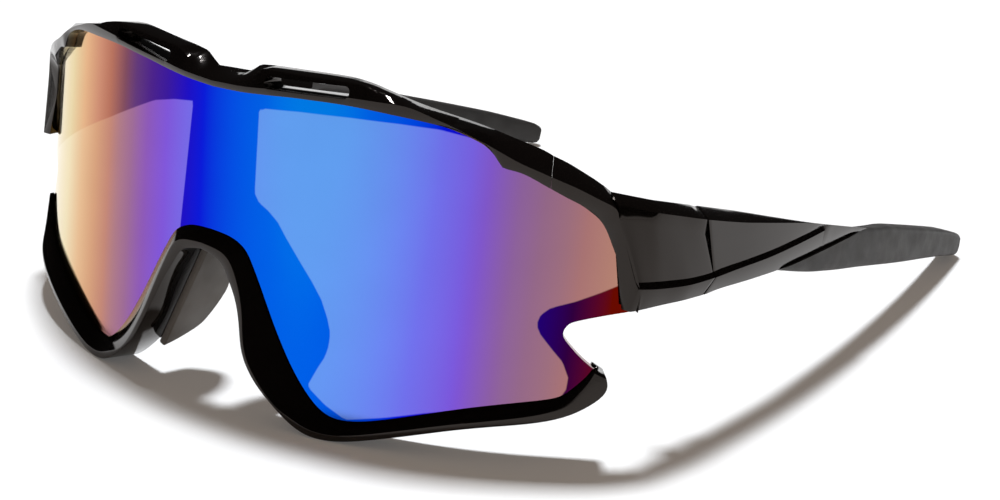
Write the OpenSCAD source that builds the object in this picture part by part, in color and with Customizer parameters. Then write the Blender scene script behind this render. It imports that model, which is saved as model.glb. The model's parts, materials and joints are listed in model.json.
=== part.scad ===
// Shield sunglasses: a curved one-piece lens held by a brow bar, two end
// pieces and a lower rim, with two folding temples.
// The wearer looks along -Y, left is +X, and the part stands on Z = 0 on its
// lower rim and the ends of its temples.

/* [Front] */
// Width over the front corners of the two end pieces
front_w = 140; // [134:1:148]
// Height of the front, from the rim's foot to the top of the vents
front_h = 61.4; // [58:0.2:66]
// Angle by which the front leans back, in degrees
front_lean = 4.3; // [0:0.1:6]

/* [Lens] */
// Radius of the lens's outer face
lens_r = 96.5; // [92:0.5:104]
// Thickness of the lens
lens_t = 1.8; // [1.4:0.1:2.2]
// Depth of the lens in the grooves that hold it
lens_tuck = 0.8; // [0.6:0.1:1]
// Clearance of the lens in its grooves
lens_gap = 0.1; // [0.05:0.01:0.15]

/* [Brow and rim] */
// How far the brow stands out in front of the lens
brow_proud = 2.2; // [1.6:0.1:3]
// Wall of the brow behind the lens
brow_wall = 1; // [0.8:0.1:2]
// How far the two vents stand out in front of the brow
vent_proud = 0.5; // [0.3:0.1:1.2]
// Slope of the brow's upper facet, in degrees
brow_slope = 45; // [38:1:50]
// Depth of the two vents behind the lens's front
vent_back = 1.5; // [1:0.1:2.4]
// How far the lower rim stands out in front of the lens beside the nose
rim_proud = 3.9; // [3:0.1:4.4]
// How far it stands out at its two horns
horn_proud = 1.7; // [1.4:0.1:2.4]
// Slope of the nose arch's front face, in degrees
arch_slope = 6.3; // [4:0.1:8]
// How far the rim's inner lip stands out
rim_lip = 0.8; // [0.5:0.1:1.4]
// Wall of the lower rim behind the lens
rim_wall = 1.6; // [1.2:0.1:3]
// Height of a vent slot
slot_h = 2.3; // [1.8:0.1:2.5]

/* [Nose pads] */
// Length of a pad
pad_len = 20; // [18:0.5:21]
// Width of a pad, front to back
pad_w = 10.5; // [9:0.1:12]
// Thickness of a pad
pad_t = 1.4; // [1.2:0.1:1.8]
// Thickness of the carrier plate
carrier_t = 1.2; // [1:0.1:1.6]
// Depth of the carrier's rib in the rim
carrier_root = 1.4; // [1:0.1:1.8]
// Width of that rib
rib_w = 1.6; // [1.2:0.1:2]

/* [Temples] */
// Length of a temple, from its hinge to its end
temple_len = 127.5; // [120:0.5:134]
// Height of a temple at its hinge
temple_h = 15; // [13:0.5:17]
// Slope of the temples, in degrees
temple_slope = 16.3; // [15:0.1:17]
// Thickness of an arm at its hinge
arm_t = 4.5; // [4:0.1:5.5]
// Thickness of a rubber tip
tip_t = 4.6; // [4:0.1:5.5]
// How far a temple's end curves inwards
temple_curl = 15; // [10:0.5:20]
// Gap between an arm and its end piece
seam_gap = 0.25; // [0.15:0.05:0.4]
// Thickness of the arm's tang in the rubber tip
tang_t = 1.8; // [1.4:0.1:2.4]
// Length of the tang past the rubber's edge
tang_len = 70; // [50:1:74]
// Clearance of the tang in the tip
tang_gap = 0.05; // [0.02:0.01:0.1]
// Width of the crease on the arm
crease_w = 1; // [0.6:0.1:1.4]
// Depth of the crease
crease_d = 0.4; // [0.2:0.1:0.6]

/* [Hinges] */
// Distance from the front corner back to the hinge
lug_len = 14.5; // [13.5:0.1:16]
// Distance of the hinge axis inside the front corner
hinge_in = 4; // [3:0.1:4.5]
// Outer radius of the hinge knuckles
knuckle_r = 1.5; // [1.3:0.05:1.8]
// Height of the middle knuckle
knuckle_h = 2.8; // [2.4:0.1:3.4]
// Gap between knuckles
knuckle_gap = 0.1; // [0.05:0.01:0.2]
// Length of a hinge leaf from the axis
leaf_len = 9; // [8:0.1:10]
// Thickness of a hinge leaf
leaf_t = 1; // [0.8:0.05:1.2]
// Radius of the hinge screw
screw_r = 0.7; // [0.6:0.05:0.8]
// Running clearance of the hinge screw
pin_gap = 0.03; // [0.02:0.01:0.05]
// Radius of the hinge screw's head
head_r = 1.2; // [1:0.05:1.3]
// Height of the hinge screw's head
head_h = 0.7; // [0.5:0.05:0.9]
// Radius of the screws that hold a leaf
fixing_r = 0.5; // [0.4:0.05:0.6]
// Length of those screws in the plastic
fixing_len = 2; // [1.5:0.1:2.5]
// Radius of their heads
fixing_head_r = 0.9; // [0.8:0.05:1]
// Height of their heads
fixing_head_h = 0.4; // [0.3:0.05:0.5]
// Clearance round the moving knuckles
swing_gap = 0.3; // [0.2:0.05:0.4]

/* [Hidden] */
$fn = 120;
// Steps of a smooth line between two of its points
spans = 4;
// Overrun of every cut past the faces that it opens
over = 1;

// Frame of the front: X across, Y back from the lens's front line, Z up.
half_w = front_w / 2;
foot_share = 0.021;
front_lift = foot_share * front_h;
front_depth = lens_r / 2;
brow_back = lens_t + lens_gap + brow_wall;
rim_back = lens_t + lens_gap + rim_wall;

// Outlines of the front, seen along Y, as shares of half_w and front_h.
// Lower edge of the brow, from the middle to the seam.
brow_low_shares = [[0, 0.8755], [0.086, 0.8795], [0.15, 0.886], [0.254, 0.897], [0.381, 0.904],
    [0.5, 0.899], [0.589, 0.891], [0.674, 0.862], [0.7, 0.84], [0.711, 0.8225], [0.724, 0.803],
    [0.759, 0.795], [0.8235, 0.759]];
// Lens-side edge of the end piece, from the seam to its lower corner.
end_low_shares = [[0.8235, 0.759], [0.874, 0.726], [0.913, 0.687], [0.927, 0.66], [0.943, 0.612],
    [0.967, 0.534], [0.974, 0.494], [0.984, 0.453]];
// Front ridge of the end piece, from its lower corner up and in to the seam.
end_ridge_shares = [[0.997, 0.448], [1, 0.5], [0.99, 0.552], [0.973, 0.619], [0.954, 0.684],
    [0.946, 0.735], [0.901, 0.748], [0.887, 0.761], [0.849, 0.796], [0.8235, 0.806]];
// Front edge of the brow's upper facet, from the middle to the front corner.
facet_shares = [[0, 0.893], [0.09, 0.897], [0.3, 0.924], [0.4, 0.931], [0.503, 0.93],
    [0.591, 0.9055], [0.679, 0.868], [0.72, 0.845], [0.76, 0.8225], [0.8, 0.8045],
    [0.8235, 0.793], [0.876, 0.769], [0.913, 0.743], [0.931, 0.7295], [0.946, 0.723],
    [1.03, 0.69]];
// Top of the brow from the middle to the seam, under the vent.
brow_top_shares = [[0, 0.9055], [0.06, 0.912], [0.14, 0.921], [0.28, 0.936], [0.42, 0.936],
    [0.4985, 0.9235], [0.631, 0.886], [0.713, 0.8615], [0.763, 0.84], [0.779, 0.8255],
    [0.8235, 0.806]];
// Outline of the vent, from its inner foot over its top to its outer foot.
vent_shares = [[0.085, 0.88], [0.085, 0.914], [0.105, 0.94], [0.135, 0.961], [0.24, 0.97],
    [0.385, 0.978], [0.43, 0.966], [0.48, 0.944], [0.535, 0.918], [0.535, 0.885]];
// Middle line of the vent slot, from its inner to its outer end.
slot_shares = [[0.177, 0.925], [0.37, 0.944]];
// Free edge of the lens in its side notch, from top to bottom.
notch_shares = [[0.99, 0.447], [0.971, 0.4415], [0.917, 0.42], [0.874, 0.4005], [0.861, 0.3875],
    [0.856, 0.368], [0.861, 0.347], [0.89, 0.3045], [0.916, 0.275]];
// Lens-side edge of the lower rim, from the top of the nose arch to the horn.
rim_in_shares = [[0, 0.471], [0.053, 0.469], [0.084, 0.459], [0.114, 0.441], [0.131, 0.412],
    [0.156, 0.368], [0.18, 0.3175], [0.21, 0.254], [0.24, 0.197], [0.271, 0.142], [0.303, 0.098],
    [0.334, 0.06], [0.367, 0.0375], [0.389, 0.031], [0.437, 0.0325], [0.507, 0.0555],
    [0.596, 0.091], [0.679, 0.1255], [0.757, 0.1515], [0.833, 0.174], [0.869, 0.187],
    [0.886, 0.215], [0.91, 0.249], [0.921, 0.2785]];
// Crest of the lower rim, from the top of the nose arch to the horn.
crest_shares = [[0, 0.438], [0.046, 0.435], [0.07, 0.43], [0.089, 0.42], [0.119, 0.363],
    [0.137, 0.313], [0.153, 0.262], [0.165, 0.21], [0.179, 0.171], [0.197, 0.134],
    [0.216, 0.1], [0.24, 0.072], [0.266, 0.047], [0.295, 0.03], [0.337, 0.01],
    [0.386, 0.003], [0.443, 0.0065], [0.514, 0.0325], [0.6, 0.065], [0.7, 0.101],
    [0.8, 0.13], [0.871, 0.15], [0.907, 0.176], [0.936, 0.212], [0.946, 0.2475]];
// Outer edge of the lower rim, from the horn to the top of the nose arch.
rim_out_shares = [[0.967, 0.2345], [0.963, 0.207], [0.943, 0.171], [0.917, 0.148],
    [0.891, 0.1335], [0.8185, 0.114], [0.7015, 0.083], [0.576, 0.034], [0.486, 0.0015],
    [0.4385, -0.0145], [0.377, -0.021], [0.337, -0.0145], [0.293, 0.013], [0.246, 0.049],
    [0.2015, 0.104], [0.184, 0.135], [0.166, 0.168], [0.153, 0.207], [0.1385, 0.257],
    [0.123, 0.295], [0.106, 0.332], [0.087, 0.363], [0.073, 0.391], [0.053, 0.404],
    [0.026, 0.4135], [0, 0.4185]];

// Foot of the nose arch's sloped front face
arch_foot_shares = [0.179, 0.18];

// Tongue of the end piece in the brow, as a box along the curve at the seam.
tongue_len = 4;
tongue_t = 2;
tongue_h = 1;
tongue_in = 1;
tongue_gap = 0.05;
tongue_z_share = 0.781;

// Frame of a nose pad: Z along the pad, Y back, X away from the nose.
pad_mid_shares = [0.119, 0.2335];
pad_tilt = 24.2;
pad_front = 2.2;
// How far the carrier stays inside its pad
pad_inset = 0.8;
// Outline of a pad from its top to its foot, as shares of its width and length.
pad_shares = [[0, 0.47], [0.2, 0.465], [0.55, 0.41], [0.85, 0.25], [1, 0.03], [0.965, -0.11],
    [0.85, -0.26], [0.69, -0.363], [0.3, -0.455], [0, -0.5]];

// Hinge frame: Y runs back along the temple, Z along the hinge axis.
hinge_x = half_w - hinge_in;
hinge_y = lens_r - sqrt(lens_r * lens_r - half_w * half_w) + lug_len;
hinge_z_share = 0.555;
hinge_z = hinge_z_share * front_h;
inner_x = knuckle_r;
outer_x = inner_x + arm_t;
knuckle_pitch = knuckle_h + knuckle_gap;
plate_h = 3 * knuckle_h + 2 * knuckle_gap;
// Outlines in the hinge frame, as shares of temple_h.
seam_shares = [[-0.287, 0.455], [-0.107, 0.367], [-0.113, 0.233], [0.047, 0.073], [0.193, -0.113],
    [0.327, -0.26], [0.333, -0.327], [0.24, -0.407], [0.227, -0.48]];
// Lower and front edges of the lug, from the seam's foot to its top corner.
lug_shares = [[-0.1, -0.56], [-0.587, -0.647], [-0.86, -0.765], [-0.91, -0.535], [-0.993, -0.393],
    [-1.087, -0.213], [-1.187, -0.013], [-1.26, 0.133], [-1.333, 0.273], [-1.6, 0.44]];
// Plan of the lug's outer face, from the seam to the front.
lug_plan_shares = [[0.4, 0.4], [0.39, -0.1], [0.34, -0.5], [0.267, -0.913], [0.167, -1.087],
    [0.053, -1.26], [-0.087, -1.427], [-0.2, -1.6]];
top_share = 0.45;
// Outlines along the temple: shares of temple_len, then of temple_h.
arm_low_shares = [[0.057, -0.42], [0.131, -0.293], [0.204, -0.16]];
rubber_edge_shares = [[0.204, -0.16], [0.474, 0.45]];
tip_low_shares = [[0.273, -0.16], [0.375, -0.127], [0.487, -0.06], [0.665, 0.02],
    [0.829, 0.093], [0.908, 0.113], [0.959, 0.117], [0.981, 0.12]];
tip_end_shares = [[0.992, 0.17], [0.998, 0.24], [1, 0.313], [0.995, 0.385], [0.975, 0.45],
    [0.935, 0.462], [0.87, 0.485], [0.728, 0.494], [0.607, 0.49], [0.506, 0.475]];
crease_shares = [[-0.121, -0.493], [-0.063, -0.427], [0, -0.34], [0.045, -0.233], [0.106, -0.1],
    [0.18, 0.05], [0.249, 0.213], [0.342, 0.46], [0.367, 0.52]];
curl_start_share = 0.1;
curl_power = 1.8;
tang_mid_share = 0.2;
tang_rise_share = 0.11;
tang_h_share = 0.16;
bevel_share = 0.105;
bevel_run_share = 0.323;
// Roundness of a temple's end, of its thickness
tip_cap_share = 0.333;
// Place of a leaf's screws along it, and their spread about its middle
fixing_place_share = 0.667;
fixing_spread_share = 0.25;
// Width of a screw's slot, of its radius
slot_w_share = 0.5;
// Height of the end piece's recess for the leaf
recess_share = 0.667;
// Length of a carrier's rib
rib_len_share = 0.5;

// Points at shares of two sizes.
function placed(shares, w, h) = [for (s = shares) [s[0] * w, s[1] * h]];
function turned_round(p) = [for (i = [len(p) - 1:-1:0]) p[i]];
function opposite(p) = [for (q = turned_round(p)) if (q[0] > 0) [-q[0], q[1]]];
// One point of a smooth line between b and c.
function between(a, b, c, d, t) = (2 * b + (c - a) * t + (2 * a - 5 * b + 4 * c - d) * t * t
    + (3 * b - a - 3 * c + d) * t * t * t) / 2;
// Smooth line through points.
function smooth(p) = let (n = len(p) - 1) [for (i = [0:n - 1]) for (k = [0:spans - 1])
    between(p[max(i - 1, 0)], p[i], p[i + 1], p[min(i + 2, n)], k / spans), p[n]];
// Line moved to its left by a distance.
function moved(p, d) = [for (i = [0:len(p) - 1])
    let (t = p[min(i + 1, len(p) - 1)] - p[max(i - 1, 0)]) p[i] + d * [-t[1], t[0]] / norm(t)];

brow_low = smooth(placed(brow_low_shares, half_w, front_h));
end_low = smooth(placed(end_low_shares, half_w, front_h));
end_ridge = placed(end_ridge_shares, half_w, front_h);
brow_top = placed(brow_top_shares, half_w, front_h);
facet = placed(facet_shares, half_w, front_h);
notch = smooth(placed(notch_shares, half_w, front_h));
rim_in = smooth(placed(rim_in_shares, half_w, front_h));
rim_out = placed(rim_out_shares, half_w, front_h);
seam = placed(seam_shares, temple_h, temple_h);
crest = smooth(placed(crest_shares, half_w, front_h));
seam_x = brow_low[len(brow_low) - 1][0];
seam_turn = asin(seam_x / lens_r);
// The rubber's outline starts and ends where the arm meets it.
tip_low = smooth(placed(concat([rubber_edge_shares[0]], tip_low_shares), temple_len, temple_h));
tip_end = smooth(placed(concat(tip_end_shares, [rubber_edge_shares[1]]), temple_len, temple_h));

// Depth of a surface that stands out evenly in front of the lens.
function depth_at(x, proud) = lens_r - sqrt(pow(lens_r + proud, 2) - x * x);

// The rim's front is a wider arc than the lens, so that it draws in to the
// horns, and a plane that slopes back up the nose arch.
arch_foot = [arch_foot_shares[0] * half_w, arch_foot_shares[1] * front_h];
arc_start = [arch_foot[0], depth_at(arch_foot[0], rim_proud)];
arc_end = [rim_out[0][0], depth_at(rim_out[0][0], horn_proud)];
arc_mid = (arc_end * arc_end - arc_start * arc_start) / (2 * (arc_end[1] - arc_start[1]));
arc_r = norm(arc_end - [0, arc_mid]);
function rim_depth(p) = max(arc_mid - sqrt(arc_r * arc_r - p[0] * p[0]),
    arc_start[1] + (p[1] - arch_foot[1]) * tan(arch_slope));

// The part is centred front to back on Y = 0.
front_y = min([for (p = smooth(rim_out))
    rim_depth(p) * cos(front_lean) + p[1] * sin(front_lean)]);
back_y = hinge_y + max([for (p = tip_end) p[0] * cos(temple_slope) + p[1] * sin(temple_slope)]);
mid_y = (front_y + back_y) / 2;

// Half outline of the lens, from the top middle to the bottom middle.
function lens_half(d) = concat(moved(brow_low, d), moved(end_low, d),
    moved(notch, d - lens_tuck), turned_round(moved(rim_in, -d)));

module in_front() {
    translate([0, -mid_y, front_lift]) rotate([-front_lean, 0, 0]) children();
}

module in_hinge() {
    translate([hinge_x, hinge_y - mid_y, hinge_z]) rotate([-temple_slope, 0, 0]) children();
}

// Both sides of the face from one half outline, run back from the front.
module front_prism(half) {
    translate([0, front_depth, 0]) rotate([90, 0, 0])
        linear_extrude(front_depth + over + rim_proud + brow_proud)
            polygon(concat(half, opposite(half)));
}

module side_prism(outline) {
    translate([0, front_depth, 0]) rotate([90, 0, 0])
        linear_extrude(front_depth + over + brow_proud + vent_proud) polygon(outline);
}

// Everything under a facet that rises to the back from a line on the front
// surface: the line is given along X, with its place in front of the lens.
module under_facet(line, proud) {
    edge = [for (p = line)
        [p[0], p[1] * cos(brow_slope) - depth_at(p[0], proud) * sin(brow_slope)]];
    ends = [[edge[len(edge) - 1][0], -front_h], [0, -front_h]];
    half = concat(edge, ends);
    rotate([90 + brow_slope, 0, 0]) linear_extrude(2 * front_w, center = true)
        polygon(concat(half, opposite(half)));
}

// Curved wall that follows the lens, from front to back.
module wall(front, back) {
    translate([0, lens_r, -front_h / 2]) difference() {
        cylinder(h = 2 * front_h, r = lens_r + front);
        translate([0, 0, -over]) cylinder(h = 2 * front_h + 2 * over, r = lens_r - back);
    }
}

// Everything under the surface that the part stands on.
module ground() {
    translate([-front_w, -temple_len, -front_h]) cube([2 * front_w, 2 * temple_len, front_h]);
}

module lens_blank(grow, front, back) {
    intersection() {
        wall(front, back);
        front_prism(lens_half(lens_tuck + grow));
    }
}

module lens() {
    color("royalblue") in_front() lens_blank(0, 0, lens_t);
}

module lens_groove() {
    lens_blank(lens_gap, lens_gap, lens_t + lens_gap);
}

module at_tongue() {
    translate([0, lens_r, tongue_z_share * front_h]) rotate([0, 0, seam_turn])
        translate([0, -(lens_r - tongue_in), 0]) children();
}

module tongue(grow) {
    at_tongue() translate([-tongue_len - grow, -tongue_t / 2 - grow, -tongue_h / 2 - grow])
        cube([2 * tongue_len + grow, tongue_t + 2 * grow, tongue_h + 2 * grow]);
}

module vent_slot() {
    line = placed(slot_shares, half_w, front_h);
    run = line[1] - line[0];
    translate([0, front_depth, 0]) rotate([90, 0, 0])
        linear_extrude(front_depth + over + brow_proud + vent_proud) {
            for (p = line) translate(p) circle(d = slot_h);
            translate(line[0]) rotate(atan2(run[1], run[0])) translate([0, -slot_h / 2])
                square([norm(run), slot_h]);
        }
}

module brow_bar() {
    half = concat(brow_top, turned_round(brow_low));
    color([0.04, 0.04, 0.04]) in_front() difference() {
        union() {
            intersection() {
                wall(brow_proud, brow_back);
                front_prism(half);
                under_facet(facet, brow_proud);
            }
            for (side = [0, 1]) mirror([side, 0, 0]) intersection() {
                wall(brow_proud + vent_proud, vent_back);
                side_prism(placed(vent_shares, half_w, front_h));
            }
        }
        lens_groove();
        for (side = [0, 1]) mirror([side, 0, 0]) {
            vent_slot();
            tongue(tongue_gap);
        }
    }
}

// Places of a leaf's two fixing screws, looking from the axis outwards.
module at_fixings() {
    for (end = [-1, 1])
        translate([inner_x, fixing_place_share * leaf_len, end * fixing_spread_share * plate_h])
            rotate([0, 90, 0]) children();
}

// Flat leaf of a hinge on the +Y side of the axis, with its knuckles.
module leaf(knuckles) {
    root = knuckle_r + swing_gap;
    difference() {
        translate([inner_x - leaf_t, root, -plate_h / 2])
            cube([leaf_t, leaf_len - root, plate_h]);
        at_fixings() translate([0, 0, -leaf_t - over])
            cylinder(h = leaf_t + 2 * over, r = fixing_r + pin_gap);
    }
    for (z = knuckles) translate([0, 0, z - knuckle_h / 2]) difference() {
        union() {
            cylinder(h = knuckle_h, r = knuckle_r);
            translate([inner_x - leaf_t, 0, 0]) cube([leaf_t, root + leaf_t, knuckle_h]);
        }
        translate([0, 0, -over]) cylinder(h = knuckle_h + 2 * over, r = screw_r + pin_gap);
    }
}

// Room in the plastic for a leaf's screws, for the turning knuckles and for
// the other leaf, which lies on the -Y side.
module leaf_room() {
    at_fixings() translate([0, 0, -over])
        cylinder(h = fixing_len + over + pin_gap, r = fixing_r + pin_gap);
    translate([0, 0, -temple_h]) cylinder(h = 2 * temple_h, r = knuckle_r + swing_gap);
    translate([-2 * hinge_in, -leaf_len - swing_gap, -recess_share * temple_h / 2])
        cube([2 * hinge_in + inner_x + knuckle_gap, leaf_len + swing_gap, recess_share * temple_h]);
}

module hinge_front_leaf() {
    color("silver") in_hinge() mirror([0, 1, 0]) leaf([-knuckle_pitch, knuckle_pitch]);
}

module hinge_temple_leaf() {
    color("silver") in_hinge() leaf([0]);
}

// Slotted screw from its head at zero towards +Z.
module screw(length, r, cap_r, cap_h) {
    difference() {
        union() {
            cylinder(h = length, r = r);
            cylinder(h = cap_h, r = cap_r);
        }
        translate([-cap_r, -slot_w_share * r / 2, -over])
            cube([2 * cap_r, slot_w_share * r, over + cap_h / 2]);
    }
}

module hinge_screw() {
    color("gainsboro") in_hinge() translate([0, 0, plate_h / 2 + head_h]) rotate([180, 0, 0])
        screw(plate_h + head_h, screw_r, head_r, head_h);
}

module fixing_screws() {
    at_fixings() translate([0, 0, -leaf_t - fixing_head_h])
        screw(fixing_head_h + leaf_t + fixing_len, fixing_r, fixing_head_r, fixing_head_h);
}

module front_leaf_screws() {
    color("gainsboro") in_hinge() mirror([0, 1, 0]) fixing_screws();
}

module temple_leaf_screws() {
    color("gainsboro") in_hinge() fixing_screws();
}

// Half-space above the sloped bevel along the top outer edge.
module top_bevel(run) {
    drop = bevel_share * temple_h;
    translate([outer_x, 0, top_share * temple_h - drop])
        rotate([run > 0 ? atan(drop / run) : 0, atan(drop / arm_t), 0])
            translate([-temple_len, -temple_len, 0]) cube([2 * temple_len, 2 * temple_len, temple_h]);
}

// Band of the crease, from the lug's lower front corner up to the arm's top.
module crease_band() {
    line = placed(crease_shares, temple_len, temple_h);
    sideways(concat(moved(line, crease_w / 2), turned_round(moved(line, -crease_w / 2))));
}

// Outline run sideways, X along the thickness of the temple.
module sideways(outline) {
    translate([-temple_curl - outer_x, 0, 0]) rotate([90, 0, 90])
        linear_extrude(temple_curl + 3 * outer_x) polygon(outline);
}

module end_piece() {
    lug_low = placed(lug_shares, temple_h, temple_h);
    corner = lug_low[len(lug_low) - 1];
    top = [corner[0], top_share * temple_h];
    gap = [-seam_gap, 0];
    side = concat([top], [for (p = seam) p + gap], lug_low);
    plan = concat([[inner_x, temple_h / 2]], placed(lug_plan_shares, temple_h, temple_h),
        [[-hinge_in, corner[0]], [inner_x, -leaf_len - leaf_t]]);
    face = concat(end_low, end_ridge);
    color([0.04, 0.04, 0.04]) difference() {
        union() {
            in_front() intersection() {
                wall(brow_proud, brow_back);
                side_prism(face);
                under_facet(facet, brow_proud);
            }
            in_hinge() difference() {
                intersection() {
                    sideways(side);
                    translate([0, 0, -temple_h]) linear_extrude(2 * temple_h) polygon(plan);
                }
                difference() {
                    crease_band();
                    translate([-crease_d, 0, -temple_h]) linear_extrude(2 * temple_h) polygon(plan);
                }
                top_bevel(0);
            }
            in_front() tongue(0);
        }
        in_front() lens_groove();
        in_hinge() {
            mirror([0, 1, 0]) leaf_room();
            translate([-2 * hinge_in, -leaf_len - pin_gap, -recess_share * temple_h / 2])
                cube([2 * hinge_in + inner_x, 2 * leaf_len, recess_share * temple_h]);
        }
    }
}

// Outer face of the temple in plan, at a share of its length.
function outer_at(s) = outer_x
    - temple_curl * pow(max(s - curl_start_share, 0) / (1 - curl_start_share), curl_power);

module temple_plan(front, back, grow, thick, cap) {
    shares = [for (k = [0:4 * spans]) front + (back - front) * k / (4 * spans)];
    outer = [for (s = shares) [outer_at(s) + grow, s * temple_len]];
    inner = turned_round([for (p = outer) p - [thick, 0]]);
    end = [for (a = [0:180 / spans:180]) (outer[len(outer) - 1] + inner[0]) / 2
        + [cos(a) * thick / 2, sin(a) * cap]];
    translate([0, 0, -temple_h]) linear_extrude(2 * temple_h)
        polygon(concat(outer, end, inner));
}

module tang(grow) {
    start = rubber_edge_shares[0][0];
    back = start + tang_len / temple_len + grow / temple_len;
    z0 = tang_rise_share * temple_h;
    z1 = tang_mid_share * temple_h + z0 / 2;
    h = tang_h_share * temple_h / 2 + grow;
    intersection() {
        temple_plan(start, back, grow - (tip_t - tang_t) / 2, tang_t + 2 * grow, 0);
        sideways([[start * temple_len, z0 + h], [back * temple_len, z1 + h],
            [back * temple_len, z1 - h], [start * temple_len, z0 - h]]);
    }
}

module temple_arm() {
    low = placed(arm_low_shares, temple_len, temple_h);
    edge = placed(rubber_edge_shares, temple_len, temple_h);
    side = concat(seam, low, [edge[1]]);
    start = (seam[0][0] - over) / temple_len;
    end = rubber_edge_shares[1][0] + over / temple_len;
    color([0.04, 0.04, 0.04]) in_hinge() difference() {
        union() {
            difference() {
                intersection() {
                    sideways(side);
                    temple_plan(start, end, 0, arm_t, 0);
                }
                difference() {
                    crease_band();
                    temple_plan(start, end, -crease_d, arm_t, 0);
                }
                top_bevel(bevel_run_share * temple_len);
            }
            tang(0);
        }
        leaf_room();
    }
}

module temple_tip() {
    cap = tip_cap_share * tip_t;
    color([0.12, 0.12, 0.12]) difference() {
        in_hinge() difference() {
            intersection() {
                sideways(concat(tip_low, tip_end));
                temple_plan(rubber_edge_shares[0][0], 1 - cap / temple_len, 0, tip_t, cap);
            }
            tang(tang_gap);
        }
        ground();
    }
}

module at_pad() {
    translate([pad_mid_shares[0] * half_w, pad_front, pad_mid_shares[1] * front_h])
        rotate([0, -pad_tilt, 0]) children();
}

module pad_plate(thick, grow) {
    outline = smooth(placed(pad_shares, pad_w, pad_len));
    rotate([90, 0, 90]) linear_extrude(thick) polygon(moved(outline, grow));
}

module nose_pad() {
    color([0.15, 0.15, 0.15]) in_front() at_pad() translate([-pad_t, 0, 0]) pad_plate(pad_t, 0);
}

// Plate behind a pad with its rib in the rim.
module carrier_body(grow) {
    translate([0, -grow, 0]) pad_plate(carrier_t + grow, grow - pad_inset);
    translate([0, -grow, -rib_len_share * pad_len / 2 - grow])
        cube([carrier_t + carrier_root + grow, rib_w + 2 * grow,
            rib_len_share * pad_len + 2 * grow]);
}

module nose_pad_carrier() {
    color([0.06, 0.06, 0.06]) in_front() at_pad() carrier_body(0);
}

// Everything past the horn of the lower rim: its end is cut square to the
// lens, and its top slopes down to that end.
module horn_end() {
    tip = rim_in[len(rim_in) - 1];
    end = rim_out[0];
    turn = asin(end[0] / (lens_r + horn_proud));
    slope = atan((tip[1] - end[1]) * cos(turn) / (end[0] - tip[0]));
    translate([0, lens_r, 0]) rotate([0, 0, turn]) {
        translate([0, -2 * lens_r, -front_h]) cube([lens_r, 2 * lens_r, 3 * front_h]);
        translate([0, 0, end[1]]) rotate([0, slope, 0])
            translate([-lens_r, -2 * lens_r, 0]) cube([2 * lens_r, 2 * lens_r, front_h]);
    }
}

// Everything behind the rim's front surfaces.
module rim_front() {
    translate([0, arc_mid, -front_h / 2]) cylinder(h = 2 * front_h, r = arc_r);
}

module arch_front() {
    translate([0, arc_start[1], arch_foot[1]]) rotate([-arch_slope, 0, 0])
        translate([-front_w, 0, -2 * front_h]) cube([2 * front_w, 2 * lens_r, 4 * front_h]);
}

module lower_rim() {
    color([0.04, 0.04, 0.04]) difference() {
        in_front() difference() {
            union() {
                intersection() {
                    wall(rim_lip, rim_back);
                    front_prism(concat(rim_in, rim_out));
                }
                intersection() {
                    wall(2 * rim_proud, rim_back);
                    rim_front();
                    arch_front();
                    front_prism(concat(crest, rim_out));
                }
            }
            lens_groove();
            for (side = [0, 1]) mirror([side, 0, 0]) {
                horn_end();
                at_pad() carrier_body(tang_gap);
            }
        }
        ground();
    }
}

lens();
brow_bar();
lower_rim();
end_piece();  // end_piece_left
mirror([1, 0, 0]) end_piece();  // end_piece_right
nose_pad_carrier();  // nose_pad_carrier_left
mirror([1, 0, 0]) nose_pad_carrier();  // nose_pad_carrier_right
nose_pad();  // nose_pad_left
mirror([1, 0, 0]) nose_pad();  // nose_pad_right
temple_arm();  // temple_arm_left
mirror([1, 0, 0]) temple_arm();  // temple_arm_right
temple_tip();  // temple_tip_left
mirror([1, 0, 0]) temple_tip();  // temple_tip_right
hinge_front_leaf();  // hinge_front_leaf_left
mirror([1, 0, 0]) hinge_front_leaf();  // hinge_front_leaf_right
hinge_temple_leaf();  // hinge_temple_leaf_left
mirror([1, 0, 0]) hinge_temple_leaf();  // hinge_temple_leaf_right
hinge_screw();  // hinge_screw_left
mirror([1, 0, 0]) hinge_screw();  // hinge_screw_right
front_leaf_screws();  // front_leaf_screws_left
mirror([1, 0, 0]) front_leaf_screws();  // front_leaf_screws_right
temple_leaf_screws();  // temple_leaf_screws_left
mirror([1, 0, 0]) temple_leaf_screws();  // temple_leaf_screws_right
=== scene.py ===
# %% [markdown]
# # Shield sunglasses
# A curved mirrored lens is held by a black brow bar, two end pieces and a
# lower rim. Two temples with rubber tips fold on small metal hinges.
# The CAD model gives the sizes and places. This script loads it as a fixed
# frame, and then builds the shapes and finishes that a close look shows.

# %% Load the frame
import json
import math

import bpy
from mathutils import Matrix, Vector


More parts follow.
